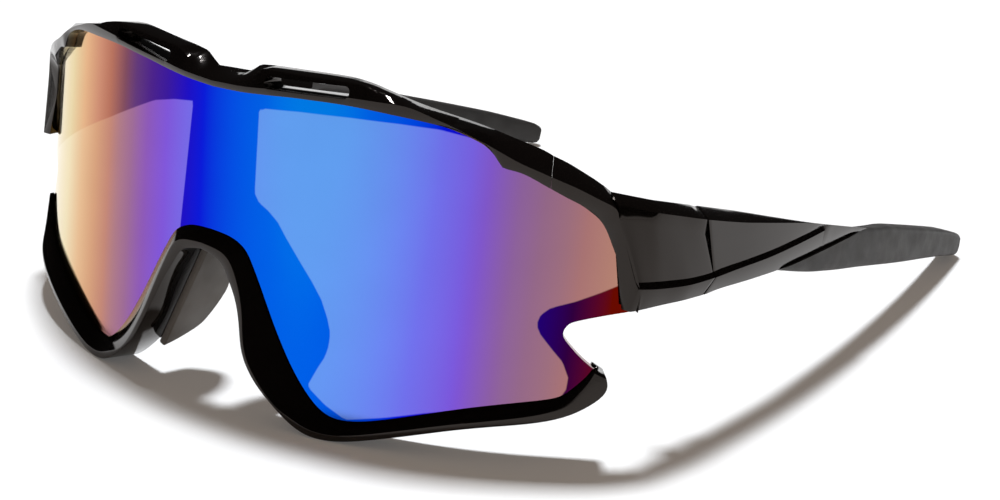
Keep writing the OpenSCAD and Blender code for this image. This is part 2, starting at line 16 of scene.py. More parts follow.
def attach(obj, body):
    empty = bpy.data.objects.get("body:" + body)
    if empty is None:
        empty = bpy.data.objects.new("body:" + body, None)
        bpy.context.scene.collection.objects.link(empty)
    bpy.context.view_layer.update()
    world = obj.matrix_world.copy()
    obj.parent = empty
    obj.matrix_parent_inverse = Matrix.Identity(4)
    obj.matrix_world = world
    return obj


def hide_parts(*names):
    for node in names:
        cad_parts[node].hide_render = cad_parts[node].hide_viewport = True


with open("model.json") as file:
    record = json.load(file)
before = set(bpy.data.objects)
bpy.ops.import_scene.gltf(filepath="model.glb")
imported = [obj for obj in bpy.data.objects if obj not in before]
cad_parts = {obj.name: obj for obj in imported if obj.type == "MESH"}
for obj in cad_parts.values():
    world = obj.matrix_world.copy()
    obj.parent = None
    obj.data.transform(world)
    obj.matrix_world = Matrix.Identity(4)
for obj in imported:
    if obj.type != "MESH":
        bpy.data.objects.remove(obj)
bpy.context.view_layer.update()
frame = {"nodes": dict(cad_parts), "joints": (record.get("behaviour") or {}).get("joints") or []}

# %% [markdown]
# ## Two working frames
# The real front is moulded round a cylinder and leans back a little. Curved
# parts could be modelled in place, but a flat sheet is far easier to draw on.
# So every front piece is drawn flat in millimetres: x is the length along the
# lens's outer face, y is the depth behind it, and z is the height. Then it is
# rolled up. The temples are drawn in the frame of their hinge.

# %% Sizes of the frames, in millimetres
# LIFT is how high the drawing's zero line lies over the table, and MID_Y how
# far the lens's front lies before the middle of the glasses.
MM = 0.001
LENS_R = 96.5
LEAN = math.radians(4.3)
LIFT, MID_Y = 1.2894, 82.9201
SLOPE = math.radians(16.3)
left_fold = next(joint for joint in frame["joints"] if joint["name"] == "left_temple_fold")
HINGE = Vector([place / MM for place in left_fold["pos_m"]])
print("the left hinge is at", [round(place, 2) for place in HINGE])

# %% Onto the curved front, and into the hinge's frame


def leaned(side, back, up):
    """A point of the upright front, leaned back and set over the table, in metres."""
    return MM * Vector((side, back * math.cos(LEAN) + up * math.sin(LEAN) - MID_Y,
                        up * math.cos(LEAN) - back * math.sin(LEAN) + LIFT))


def rolled(x, y, z):
    """A point of the flat drawing, moved onto the curved front, in metres."""
    turn, radius = x / LENS_R, LENS_R - y
    return leaned(radius * math.sin(turn), LENS_R - radius * math.cos(turn), z)


def at_hinge(x, y, z):
    """A point of the temple's drawing, in metres."""
    return MM * (HINGE + Vector((x, y * math.cos(SLOPE) + z * math.sin(SLOPE),
                                 z * math.cos(SLOPE) - y * math.sin(SLOPE))))


def along(x, proud):
    """Length along the lens of a place at x from the middle, that far in front of the lens."""
    return LENS_R * math.asin(x / (LENS_R + proud))


def across(length, proud):
    """Distance from the middle of a place at a length along the lens."""
    return (LENS_R + proud) * math.sin(length / LENS_R)


print("the lens's side edge lies", round(along(68, 0), 1), "mm along the curve")

# %% [markdown]
# ## Materials
# Four families show on the glasses: gloss black nylon, the mirror coat on
# the lens, matt soft rubber, and small metal parts. One function turns a
# colour's hex value into what Blender reads, one adds a node, and one starts a
# material with the values that are the same all over it.

# %% Colours, nodes and materials


def colour(hex_value):
    """sRGB hex to the linear colour that Blender's sockets read."""
    parts = [int(hex_value[i:i + 2], 16) / 255 for i in (1, 3, 5)]
    return [c / 12.92 if c <= 0.04045 else ((c + 0.055) / 1.055) ** 2.4 for c in parts] + [1]


def add(tree, kind, settings=None, inputs=None):
    """Adds a node. An input is a number or colour, or the output socket that feeds it."""
    node = tree.nodes.new(kind)
    for key, value in (settings or {}).items():
        setattr(node, key, value)
    for key, value in (inputs or {}).items():
        if isinstance(value, bpy.types.NodeSocket):
            tree.links.new(value, node.inputs[key])
        else:
            node.inputs[key].default_value = value
    return node


def material(name, **sockets):
    """A new Principled material with values on its sockets."""
    made = bpy.data.materials.new(name)
    made.use_nodes = True
    shader = made.node_tree.nodes["Principled BSDF"]
    for key, value in sockets.items():
        shader.inputs[key.replace("_", " ")].default_value = value
    return made, made.node_tree, shader


print("mid grey is", round(colour("#808080")[0], 3), "in linear light")

# %% [markdown]
# ## Patterns
# A moulded surface is never quite even. It could get a picture of its
# unevenness, but noise with grains of a real size does the same at any
# distance. The noise is mapped to a range of roughness, to two shades of a
# colour, or to very small hills. It lies on the piece's own coordinates, so
# it stays on the piece when that moves.

# %% Patterns


def ramp(tree, factor, stops):
    """A colour ramp from (place, hex) stops."""
    node = add(tree, "ShaderNodeValToRGB", None, {"Fac": factor})
    elements = node.color_ramp.elements
    for index, (place, value) in enumerate(stops):
        if index < 2:
            element = elements[index]
            element.position = place
        else:
            element = elements.new(place)
        element.color = colour(value)
    return node.outputs["Color"]


def grain(tree, size_mm, detail=2.0, stretch=(1, 1, 1)):
    """Noise whose grains are so many millimetres across, on Object coordinates."""
    place = add(tree, "ShaderNodeTexCoord").outputs["Object"]
    mapping = add(tree, "ShaderNodeMapping", None, {"Vector": place, "Scale": stretch})
    return add(tree, "ShaderNodeTexNoise", None,
               {"Vector": mapping.outputs["Vector"], "Scale": 1 / (size_mm * MM), "Detail": detail}
               ).outputs["Fac"]


def mapped(tree, value, old_low, old_high, low=0, high=1):
    """Maps a number from one range to another."""
    return add(tree, "ShaderNodeMapRange", None,
               {"Value": value, "From Min": old_low, "From Max": old_high,
                "To Min": low, "To Max": high}).outputs["Result"]


def shades(tree, shader, noise, dark, light):
    """A colour that goes with noise between two shades."""
    tree.links.new(ramp(tree, noise, [(0.3, dark), (0.7, light)]), shader.inputs["Base Color"])


def roughness(tree, shader, noise, low, high):
    """A roughness that goes with noise between two values."""
    tree.links.new(mapped(tree, noise, 0.3, 0.7, low, high), shader.inputs["Roughness"])


def bump(tree, shader, height, depth_mm):
    """Very small hills on the surface, so many millimetres deep."""
    hills = add(tree, "ShaderNodeBump", None, {"Height": height, "Distance": depth_mm * MM})
    tree.links.new(hills.outputs["Normal"], shader.inputs["Normal"])


print("grains of 5 mm are noise of scale", round(1 / (5 * MM)))

# %% [markdown]
# ## Gloss black nylon
# The frame is injection moulded nylon 12 from a polished mould. The eye sees
# a warm black with a hard, clear gloss. It could be one plain black, but a
# very slight waviness from shrinkage and the marks of handling keep the large
# faces from looking like glass.

# %% Gloss nylon
gloss_nylon, tree, shader = material(
    "gloss_moulded_nylon", Base_Color=colour("#0b0807"), IOR=1.42,
    Specular_Tint=colour("#fff0e6"))
wave_mm, wave_depth_mm, handling_mm = 7, 0.004, 14
roughness(tree, shader, grain(tree, handling_mm), 0.05, 0.11)
bump(tree, shader, grain(tree, wave_mm, 1), wave_depth_mm)
print(gloss_nylon.name)

# %% [markdown]
# ## Satin nylon of the pad carriers
# The carriers come from an etched mould, so the same plastic looks satin: the
# fine etch breaks up each reflection. It gets the etch as bumps, and a rougher
# surface on top, because most of the etch is too fine to show.

# %% Satin nylon
satin_nylon, tree, shader = material(
    "satin_moulded_nylon", Base_Color=colour("#1c1a19"), IOR=1.53)
etch_mm, etch_depth_mm, uneven_mm = 0.35, 0.02, 5
roughness(tree, shader, grain(tree, uneven_mm), 0.38, 0.5)
bump(tree, shader, grain(tree, etch_mm, 3), etch_depth_mm)
print(satin_nylon.name)

# %% [markdown]
# ## Soft rubber
# Temple tips and nose pads are thermoplastic elastomer. It is matt, a shade
# lighter than the gloss plastic, and its fine grain scatters the light. The
# pads get lighter shades than the tips, so one helper makes both.

# %% Soft rubber
rubber_grain_mm, rubber_depth_mm = 0.25, 0.03
rubber_shade_mm, rubber_wear_mm = 9, 4


def rubber(name, dark, light):
    """A matt elastomer between two shades."""
    made, tree, shader = material(name, IOR=1.45, Sheen_Weight=0.06, Sheen_Roughness=0.5)
    shades(tree, shader, grain(tree, rubber_shade_mm), dark, light)
    roughness(tree, shader, grain(tree, rubber_wear_mm), 0.52, 0.66)
    bump(tree, shader, grain(tree, rubber_grain_mm, 3), rubber_depth_mm)
    return made


soft_rubber = rubber("matt_temple_elastomer", "#1f1c1a", "#292522")
pad_rubber = rubber("matt_nose_pad_elastomer", "#4b443d", "#564e46")
print(soft_rubber.name, pad_rubber.name)

# %% [markdown]
# ## Nickel silver of the hinge leaves
# The leaves are stamped from drawn strip. The eye sees a warm, pale metal with
# faint lines along the strip. The lines are noise that is squeezed across the
# strip, and they make both the roughness and the bumps.

# %% Nickel silver
nickel_silver, tree, shader = material("stamped_nickel_silver", Metallic=1.0)
strip_shade_mm, line_mm, line_depth_mm, line_squeeze = 2, 0.5, 0.01, (6, 0.6, 6)
shades(tree, shader, grain(tree, strip_shade_mm), "#b7b2a6", "#cdc8bc")
drawn_lines = grain(tree, line_mm, 3, line_squeeze)
roughness(tree, shader, drawn_lines, 0.24, 0.42)
bump(tree, shader, drawn_lines, line_depth_mm)
print(nickel_silver.name)

# %% [markdown]
# ## Stainless steel of the screws
# The screws are turned, and so small that their marks only show as an uneven,
# cool gleam. They could get rings of bumps, but noise in the roughness is
# enough for that.

# %% Stainless steel
turned_steel, tree, shader = material("turned_stainless_steel", Metallic=1.0)
screw_shade_mm, turning_mm = 1, 0.3
shades(tree, shader, grain(tree, screw_shade_mm), "#bcbcbb", "#d2d2d0")
roughness(tree, shader, grain(tree, turning_mm, 2), 0.18, 0.32)
print(turned_steel.name)

# %% [markdown]
# ## Mirror coat
# The lens is grey polycarbonate with a stack of very thin clear layers. Such
# a stack reflects blue where it is looked at straight, and the colour runs
# through violet and red to yellow where the light meets it at a slant. The
# stack is also thicker towards the lens's sides, because the coating falls
# more slanted there. Both effects add up to one number, which a ramp turns
# into a colour. Over the two eye zones a pale glow is painted into the colour:
# painted light, as of white light from behind coming through the lens. Near
# the side edge the colour is painted darker: painted shade, where the mirror
# reflects less light.

# %% Colours of the coat
# Base, side and slant turn the place and the view into a number on the ramps.
# The turns of the edge are in degrees, and the zones' soft edge is in mm.
COAT_BASE, COAT_SIDE, COAT_SLANT = -0.099, 3.99e-4, 0.927
COAT_COLOURS = [(0.0, "#0080e2"), (0.093, "#0078e1"), (0.111, "#005fe1"), (0.15, "#0048dc"),
                (0.196, "#0014d2"), (0.233, "#1400be"), (0.294, "#320096"), (0.352, "#410082"),
                (0.422, "#551e6e"), (0.48, "#73324b"), (0.573, "#aa5a3c"), (0.66, "#be734b"),
                (0.805, "#d49650"), (0.983, "#d2b45e"), (1.0, "#d4b862")]
# Painted light: the paler colours of the glow that is painted in the eye zones.
PAINTED_GLOW_COLOURS = [(0.0, "#5a9bec"), (0.1, "#5f9beb"), (0.16, "#6982eb"), (0.2, "#6e6ee6"),
               (0.29, "#7a50d2"), (0.36, "#854fb0"), (0.43, "#945f8c"), (0.5, "#a46c78"),
               (0.56, "#b87660"), (0.66, "#c98c5c"), (0.8, "#d8a466"), (1.0, "#dfc98a")]
# Painted shade: darker colours near the side edge, where the mirror reflects less light. There the
# painted glow turns a pale mauve.
EDGE_SHADE_COLOURS = [(0.3, "#14008c"), (0.45, "#1e006e"), (0.55, "#2d003c"), (0.68, "#640a00")]
EDGE_FROM, EDGE_TO, EDGE_GLOW_COLOUR = 28, 33, "#8d6c7e"
ZONE_SOFT = 0.1
print(len(COAT_COLOURS), "colours from the middle of the lens to its far side")

# %% Place on the coat


def maths(tree, operation, *values):
    """A sum of numbers and outputs."""
    return add(tree, "ShaderNodeMath", {"operation": operation}, dict(enumerate(values))).outputs[0]


mirror_coat, tree, shader = material(
    "mirror_coated_polycarbonate", Metallic=1.0, Roughness=0.07)
turn = add(tree, "ShaderNodeAttribute", {"attribute_name": "turn_deg"}).outputs["Fac"]
side = maths(tree, "MULTIPLY", turn, turn)
slant = add(tree, "ShaderNodeLayerWeight", None, {"Blend": 0.5}).outputs["Facing"]
sum_side = maths(tree, "MULTIPLY_ADD", side, COAT_SIDE, COAT_BASE)
path = maths(tree, "MULTIPLY_ADD", slant, COAT_SLANT, sum_side)
print("number of a point at 30 degrees, seen straight:", round(COAT_BASE + COAT_SIDE * 30 ** 2, 3))

# %% Mirror coat


def mixed(tree, share, first, second):
    """A mix of two colours."""
    return add(tree, "ShaderNodeMix", {"data_type": "RGBA"},
               {"Factor": share, 6: first, 7: second}).outputs[2]


middle, edge = ramp(tree, path, COAT_COLOURS), ramp(tree, path, EDGE_SHADE_COLOURS)
# Painted shade: near the side edge the colour goes over to the darker ones.
near_edge = mapped(tree, turn, EDGE_FROM, EDGE_TO)
deep = mixed(tree, near_edge, middle, edge)
half_edge = maths(tree, "MULTIPLY", near_edge, 0.5)
# Painted light: in the eye zones a pale glow is mixed into the colour, as of white light from behind.
pale = mixed(tree, half_edge, ramp(tree, path, PAINTED_GLOW_COLOURS), colour(EDGE_GLOW_COLOUR))
glow_zone = add(tree, "ShaderNodeAttribute", {"attribute_name": "painted_glow_mm"}).outputs["Fac"]
in_glow = mapped(tree, glow_zone, -ZONE_SOFT, ZONE_SOFT)
coat = mixed(tree, in_glow, deep, pale)
tree.links.new(coat, shader.inputs["Base Color"])
print(mirror_coat.name)

# %% [markdown]
# ## Back of the lens
# From behind, the coat does not show: there the eye sees smoke grey plastic
# with a clear gloss, and the slight unevenness of a dipped hard coat. It is a
# second material on the lens's back faces, as on the real lens.

# %% Smoke polycarbonate
smoke_lens, tree, shader = material("smoke_polycarbonate", IOR=1.585)
tint_mm, dip_mm = 30, 12
shades(tree, shader, grain(tree, tint_mm), "#1d1b1c", "#242122")
roughness(tree, shader, grain(tree, dip_mm), 0.03, 0.07)
print(smoke_lens.name)

# %% [markdown]
# ## Finishing a piece
# Each new piece gets three things at its end: its material, smooth shading
# over gentle edges, and its place in the frame. It is parented to an empty
# for its body, and the CAD nodes that it replaces are hidden. As an operator
# acts on all that is selected, the piece is first made the only one.

# %% Finishing a piece


def start_fresh():
    bpy.ops.object.select_all(action="DESELECT")


def choose(piece):
    """Makes a piece the only one selected, and the active one."""
    start_fresh()
    piece.select_set(True)
    bpy.context.view_layer.objects.active = piece


def finish_piece(piece, finish, body, slot, *nodes, smooth=30):
    """Gives a piece its finish, body and CAD nodes, and smooths its gentle edges."""
    piece.data.materials.clear()
    piece.data.materials.append(finish)
    choose(piece)
    bpy.ops.object.shade_smooth_by_angle(angle=math.radians(smooth), keep_sharp_edges=True)
    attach(piece, body)
    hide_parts(*nodes)
    print(piece.name, len(piece.data.polygons), "faces")


start_fresh()
print("selected now:", len(bpy.context.selected_objects))

# %% [markdown]
# ## Outlines of the front
# These lines were measured on the photograph and moved onto the curved
# front. They could be traced over a picture, but as named lists they can be
# read and changed. Each gives heights over the distance from the middle. Then
# come the lens's thickness, how deep it sits in its grooves and with what gap,
# and how far the brow and the rim's lip stand out. Each station of the rim has
# three places, at the lens, on the crest and at the outer edge, and between
# them how far the crest stands out.

# %% Outlines, in millimetres
BROW_LOW = [(0, 53.75), (6, 54), (10.5, 54.4), (17.8, 55.1), (26.7, 55.5), (35, 55.2),
            (41.2, 54.7), (47.2, 52.9), (49, 51.6), (49.8, 50.5), (50.7, 49.3), (53.1, 48.8),
            (57.6, 46.6)]
END_LOW = [(57.6, 46.6), (61.2, 44.6), (63.9, 42.2), (64.9, 40.5), (66, 37.6), (67.7, 32.8),
           (68.2, 30.3), (69, 27.8)]
NOTCH = [(69, 27.7), (68, 27.1), (64.2, 25.8), (61.2, 24.6), (60.3, 23.8), (59.9, 22.6),
         (60.3, 21.3), (62.3, 18.7), (64.1, 16.9), (64.5, 16.6)]
LENS_T, TUCK, GAP = 1.8, 0.8, 0.05
BROW_FRONT, RIM_LIP = 1.7, 0.35
print(len(NOTCH), "points on the notch")

# %% Stations of the rim
RIM_STATIONS = [
    ((0, 28.9), (0, 26.9), 2.1, (0, 25.7)), ((3.7, 28.8), (3.2, 26.7), 2.1, (2.6, 25.3)),
    ((5.9, 28.2), (4.9, 26.3), 2.1, (4.1, 24.7)), ((8, 27.1), (6.3, 25.5), 2.1, (5.3, 23.8)),
    ((9.2, 25.3), (7.4, 24), 2.1, (6.2, 22.1)), ((10.9, 22.6), (8.6, 21.5), 2.1, (7.4, 20.4)),
    ((12.6, 19.5), (9.8, 18.7), 2.3, (8.7, 18)), ((14.7, 15.6), (10.9, 15.4), 2.8, (9.9, 15.2)),
    ((16.8, 12.1), (11.7, 12.3), 3.4, (10.8, 12.4)), ((19, 8.7), (12.9, 9.6), 3.8, (11.9, 9.9)),
    ((21.2, 6), (14.3, 7.3), 3.7, (13.4, 7.5)), ((23.4, 3.7), (16.2, 4.9), 3.4, (14.9, 5.4)),
    ((25, 2.7), (18.6, 2.5), 3.2, (17.4, 3.2)), ((26.2, 2.1), (21.3, 1.7), 3.1, (20.5, 0.8)),
    ((27.5, 1.9), (24, 0.3), 3.0, (23.6, -0.9)), ((29, 1.9), (27, 0), 3.0, (26.8, -1.3)),
    ((31.5, 2.2), (31, 0.3), 3.0, (31, -0.85)), ((35.5, 3.4), (35.7, 1.8), 3.0, (36, 0.7)),
    ((41.7, 5.6), (42, 3.9), 3.0, (42.3, 2.75)), ((47.5, 7.7), (48, 5.9), 3.0, (48.4, 4.85)),
    ((53, 9.3), (53.5, 7.4), 2.9, (54, 6.3)), ((58.3, 10.7), (59, 8.9), 2.6, (59.5, 7.5)),
    ((60.8, 11.5), (61.7, 10.2), 1.8, (63.2, 9.0)), ((62, 13.2), (63.0, 12.4), 1.4, (65.8, 11.6)),
    ((63.7, 15.3), (64.4, 14.8), 1.1, (67.1, 13.6)), ((64.4, 17.1), (64.9, 16.9), 0.9, (66.3, 15.9))]
print(len(RIM_STATIONS), "stations from the middle to a horn")

# %% [markdown]
# ## Smooth lines
# Mouldings have flowing edges. They could be drawn point by point, but a few
# measured points and a smooth line through them keep such an edge easy to
# change. One helper runs a curve through points. The other reads the height of
# such a line at a place, without overshoot between two points.

# %% Smooth lines
LINE_STEPS = 4


def smooth_line(points, steps):
    """A curve through points of any number of coordinates, with so many steps between two."""
    line = []
    for i in range(len(points) - 1):
        a, b = points[max(i - 1, 0)], points[i]
        c, d = points[i + 1], points[min(i + 2, len(points) - 1)]
        for k in range(steps):
            t = k / steps
            line.append([(2 * q + (r - p) * t + (2 * p - 5 * q + 4 * r - s) * t * t
                          + (3 * q - p - 3 * r + s) * t ** 3) / 2
                         for p, q, r, s in zip(a, b, c, d)])
    line.append(list(points[-1]))
    return line


def level(points, x):
    """Height of the smooth line through (x, height) points, at x."""
    last = len(points) - 1
    if x <= points[0][0]:
        return points[0][1]
    if x >= points[last][0]:
        return points[last][1]
    i = max(k for k in range(last) if points[k][0] <= x)
    (x0, z0), (x1, z1) = points[i], points[i + 1]
    rise = (z1 - z0) / (x1 - x0)
    ends = []
    for k in (i, i + 1):
        if 0 < k < last:
            before = (points[k][1] - points[k - 1][1]) / (points[k][0] - points[k - 1][0])
            after = (points[k + 1][1] - points[k][1]) / (points[k + 1][0] - points[k][0])
            ends.append(0 if before * after <= 0 else 2 * before * after / (before + after))
        else:
            ends.append(rise)
    t, width = (x - x0) / (x1 - x0), x1 - x0
    return (z0 * (1 + 2 * t) * (1 - t) ** 2 + z1 * t * t * (3 - 2 * t)
            + width * t * (1 - t) * (ends[0] * (1 - t) - ends[1] * t))


print("a smooth line through 0, 1, 0 is", level([(0, 0), (1, 1), (2, 0)], 0.5), "at 0.5")

# %% [markdown]
# ## Lens
# The real lens is a moulded shell of even thickness, with a milled outline. It
# could be bent by a modifier. Here a plate is cut from a fine flat grid, since
# the roll needs many columns, and then it is rolled up by the same sum as all
# the other front pieces, so that they fit.

# %% Lens outline


def pushed(points, distance):
    """A line moved to its left."""
    line = []
    for i, p in enumerate(points):
        a, b = points[max(i - 1, 0)], points[min(i + 1, len(points) - 1)]
        run = math.hypot(b[0] - a[0], b[1] - a[1])
        line.append((p[0] - distance * (b[1] - a[1]) / run, p[1] + distance * (b[0] - a[0]) / run))
    return line


def flat_line(points, proud):
    """A smooth outline on the flat drawing."""
    return [(along(x, proud), z) for x, z in smooth_line(points, LINE_STEPS)]


rim_line = [inner for inner, *_ in RIM_STATIONS[:-1]]
lens_half = (pushed(flat_line(BROW_LOW, BROW_FRONT), TUCK)
             + pushed(flat_line(END_LOW[:-1], BROW_FRONT), TUCK) + flat_line(NOTCH, 0)
             + list(reversed(pushed(flat_line(rim_line, RIM_LIP), -TUCK))))
lens_outline = lens_half[:-1] + [(-x, z) for x, z in reversed(lens_half) if x > 0]
print(len(lens_outline), "points round the lens")

# %% [markdown]
# ## Plates and cutters
# A plate is an outline that is filled and extruded. Held through another
# piece, it cuts a hole or keeps only what both share, as a punch and die do.

# %% Helpers for plates
OUTWARD = (bpy.ops.mesh.normals_make_consistent, {"inside": False})


def edit(piece, *steps):
    """Runs edit-mode operators on the whole piece."""
    choose(piece)
    bpy.ops.object.mode_set(mode="EDIT")
    bpy.ops.mesh.select_all(action="SELECT")
    for step, options in steps:
        step(**options)
    bpy.ops.object.mode_set(mode="OBJECT")


def plate(name, outline, thickness):
    """A flat plate in the XZ plane: an outline of points, filled and extruded back from y = 0."""
    start_fresh()
    bpy.ops.mesh.primitive_circle_add(vertices=len(outline), fill_type="NGON")
    piece = bpy.context.object
    piece.name = name
    for vertex in piece.data.vertices:
        x, z = outline[vertex.index]
        vertex.co = (x, 0, z)
    push = {"TRANSFORM_OT_translate": {"value": (0, thickness, 0)}}
    edit(piece, (bpy.ops.mesh.extrude_region_move, push),
         (bpy.ops.mesh.select_all, {"action": "SELECT"}), OUTWARD)
    return piece


def modify(piece, kind, **settings):
    """Adds a modifier and applies it."""
    choose(piece)
    modifier = piece.modifiers.new(kind, kind)
    for key, value in settings.items():
        setattr(modifier, key, value)
    bpy.ops.object.modifier_apply(modifier=modifier.name)


def combine(piece, tool, operation):
    """Joins, cuts or keeps what two pieces share, and deletes the tool."""
    modify(piece, "BOOLEAN", object=tool, operation=operation, solver="EXACT")
    bpy.data.objects.remove(tool)


def moved_by(piece, place):
    """Sends each vertex through a function of its coordinates."""
    for vertex in piece.data.vertices:
        vertex.co = place(*vertex.co)


lens_cutter = plate("lens_cutter", lens_outline, LENS_T)
print(lens_cutter.name, len(lens_cutter.data.vertices), "points")

# %% Lens, cut from a fine grid
LENS_WIDE, LENS_TALL, LENS_CELL, CUT_OVER = 158, 60, 1.0, 0.5
start_fresh()
bpy.ops.mesh.primitive_grid_add(x_subdivisions=int(LENS_WIDE / LENS_CELL),
                                y_subdivisions=int(LENS_TALL / LENS_CELL), size=1)
lens = bpy.context.object
lens.name = "mirror_lens"
moved_by(lens, lambda x, y, z: Vector((LENS_WIDE * x, 0, LENS_TALL * (y + 0.5))))
modify(lens, "SOLIDIFY", thickness=LENS_T, offset=1)
lens_front = min(vertex.co.y for vertex in lens.data.vertices)
moved_by(lens, lambda x, y, z: Vector((x, y - lens_front, z)))
moved_by(lens_cutter, lambda x, y, z: Vector((x, y + (CUT_OVER if y > 0 else -CUT_OVER), z)))
combine(lens, lens_cutter, "INTERSECT")
print("flat lens", len(lens.data.polygons), "faces")

# %% [markdown]
# ## Eye zones
# The coat's colour depends on how far round the curve a point is, and on
# whether it lies in a zone before an eye, where a pale glow of light is
# painted. The turn could be read by nodes, but the zones have free outlines.
# So they are drawn, with turns in degrees and heights in millimetres, and two
# attributes on the lens's vertices carry both to the material.

# %% Outlines of the eye zones
# Outlines of the two zones where a pale glow of light is painted on the lens.
FAR_GLOW_ZONE = [(-4.3, -8), (-4.3, 28), (-3.6, 49.8), (-6.4, 49.1), (-9.7, 47.7), (-12.3, 45.8),
            (-18.4, 41.3), (-26.8, 35.5), (-50, 19), (-50, -8)]
NEAR_GLOW_ZONE = [(5.4, 37.2), (5.2, 51.6), (10, 52.5), (15.5, 53.2), (20.6, 53.6), (24.6, 53.7),
             (28.6, 52.9), (32.5, 50.8), (37, 49.5), (50, 48), (50, 34.5), (46, 33.4), (43.8, 31.8),
             (41.5, 29.8), (39.2, 28), (36.9, 26.6), (36, 25.2), (35.7, 23.5), (36.2, 21.9),
             (37.5, 19.5), (38.6, 17.6), (39.3, 15), (39.2, 12.5), (38.2, 10.8), (36, 9.6),
             (33.3, 8.9), (29.5, 7.6), (25.6, 5.9), (21.6, 3.9), (17.6, 2.2), (15.3, 4),
             (13.2, 6.5), (14.2, 10.1), (14.9, 12.3), (15.2, 14.3), (15.25, 16.6), (14.8, 19),
             (14, 21.9), (12.8, 24.6), (11.3, 27.5), (9.5, 31), (8.4, 33.3), (7.2, 34.8),
             (6, 35.8)]
print(len(FAR_GLOW_ZONE) + len(NEAR_GLOW_ZONE), "points on the two zones")

# %% Eye zones on the lens


def inside_mm(zone, x, z):
    """How far a point of the flat drawing is inside a zone, or outside as a negative number."""
    nearest, inside = math.inf, False
    points = [(math.radians(t) * LENS_R, h) for t, h in zone]
    for (x0, z0), (x1, z1) in zip(points, points[1:] + points[:1]):
        run = (x1 - x0) ** 2 + (z1 - z0) ** 2
        t = max(0, min(1, ((x - x0) * (x1 - x0) + (z - z0) * (z1 - z0)) / run))
        nearest = min(nearest, math.hypot(x - x0 - t * (x1 - x0), z - z0 - t * (z1 - z0)))
        if (z0 > z) != (z1 > z) and x < x0 + (z - z0) * (x1 - x0) / (z1 - z0):
            inside = not inside
    return nearest if inside else -nearest


turn_deg = lens.data.attributes.new("turn_deg", "FLOAT", "POINT")
# How far each vertex lies inside a zone of painted glow.
painted_glow_mm = lens.data.attributes.new("painted_glow_mm", "FLOAT", "POINT")
for vertex in lens.data.vertices:
    x, _, z = vertex.co
    turn_deg.data[vertex.index].value = math.degrees(x / LENS_R)
    zone = NEAR_GLOW_ZONE if x > 0 else FAR_GLOW_ZONE
    painted_glow_mm.data[vertex.index].value = inside_mm(zone, x, z)
print("deepest in a zone:", round(max(item.value for item in painted_glow_mm.data), 1), "mm")

# %% Lens, rolled up
lens_back = [face.index for face in lens.data.polygons if face.normal.y > 0.5]
moved_by(lens, rolled)
finish_piece(lens, mirror_coat, "front", "lens", "lens", smooth=40)
lens.data.materials.append(smoke_lens)
for index in lens_back:
    lens.data.polygons[index].material_index = 1
print("back of the lens:", len(lens_back), "faces")

# %% [markdown]
# ## Skins
# The brow, the rim and the temples are mouldings whose section changes all
# the way. A skin is a grid whose rows are laid on closed rings of points, as
# a boat is planked over its frames. A subdivided block could give such shapes
# too, but rings keep the creases between facets sharp. A small bevel then
# rounds the edges: mouldings have no knife edges, and round ones catch light.

# %% Helpers for skins
MERGE_MM = 0.0005


def skin(name, rings):
    """Lays a grid over closed rings and closes its ends."""
    around = len(rings[0])
    start_fresh()
    bpy.ops.mesh.primitive_grid_add(x_subdivisions=around, y_subdivisions=len(rings) - 1, size=1)
    piece = bpy.context.object
    piece.name = name
    for vertex in piece.data.vertices:
        row, place = divmod(vertex.index, around + 1)
        vertex.co = rings[row][place % around]
    edit(piece, (bpy.ops.mesh.remove_doubles, {"threshold": MERGE_MM}),
         (bpy.ops.mesh.fill_holes, {"sides": 0}), OUTWARD)
    return piece


def soften(piece, width, segments=2, angle=25):
    """Rounds the sharp edges a little."""
    modify(piece, "BEVEL", width=width, segments=segments, limit_method="ANGLE",
           angle_limit=math.radians(angle))


EDGE_ROUND, RIM_ROUND = 0.12, 0.15
print("edges are rounded over", EDGE_ROUND, "mm, and the rim's over", RIM_ROUND, "mm")

# %% [markdown]
# ## Brow bar
# One moulding spans the lens: a narrow front face, a sloped face above it,
# and two raised vents with a long slot each. It could be a bar that is bent
# and cut, but its section changes all the way. So each ring takes the heights
# of four lines, and the vents swell out of the sloped face over a few mm.

# %% Lines of the brow
FACET_EDGE = [(0, 54.8), (6.3, 55.1), (21, 56.7), (35.2, 57.1), (41.4, 55.6), (47.5, 53.3),
              (50.4, 51.9), (53.2, 50.5), (56, 49.4), (57.7, 48.7)]
BROW_TOP = [(0, 55.8), (3.3, 56.2), (4.9, 57.5), (6.6, 58.3), (13.8, 58.9), (23.4, 59.3),
            (26.6, 59), (30, 58.2), (34.9, 56.9), (44.2, 54.9), (49.9, 53.1), (53.4, 51.8),
            (55, 50.9), (57.6, 50.1)]
VENT_CORNER = [(6, 56.2), (10, 58.5), (18, 58.8), (27.2, 59.1), (31, 58.4), (35.5, 57.1),
               (40.2, 56.1), (47.6, 54.3), (51, 52.7)]
FACET_FRONT, VENT_FRONT, BROW_BACK = 2.2, 1.0, 2.9
VENT_START, VENT_END, VENT_EASE = 6.0, 50.5, 3.5
SEAM_AT, SEAM_GAP = along(57.6, FACET_FRONT), 0.03
print("the brow ends", round(SEAM_AT, 2), "mm along the lens")

# %% Brow bar


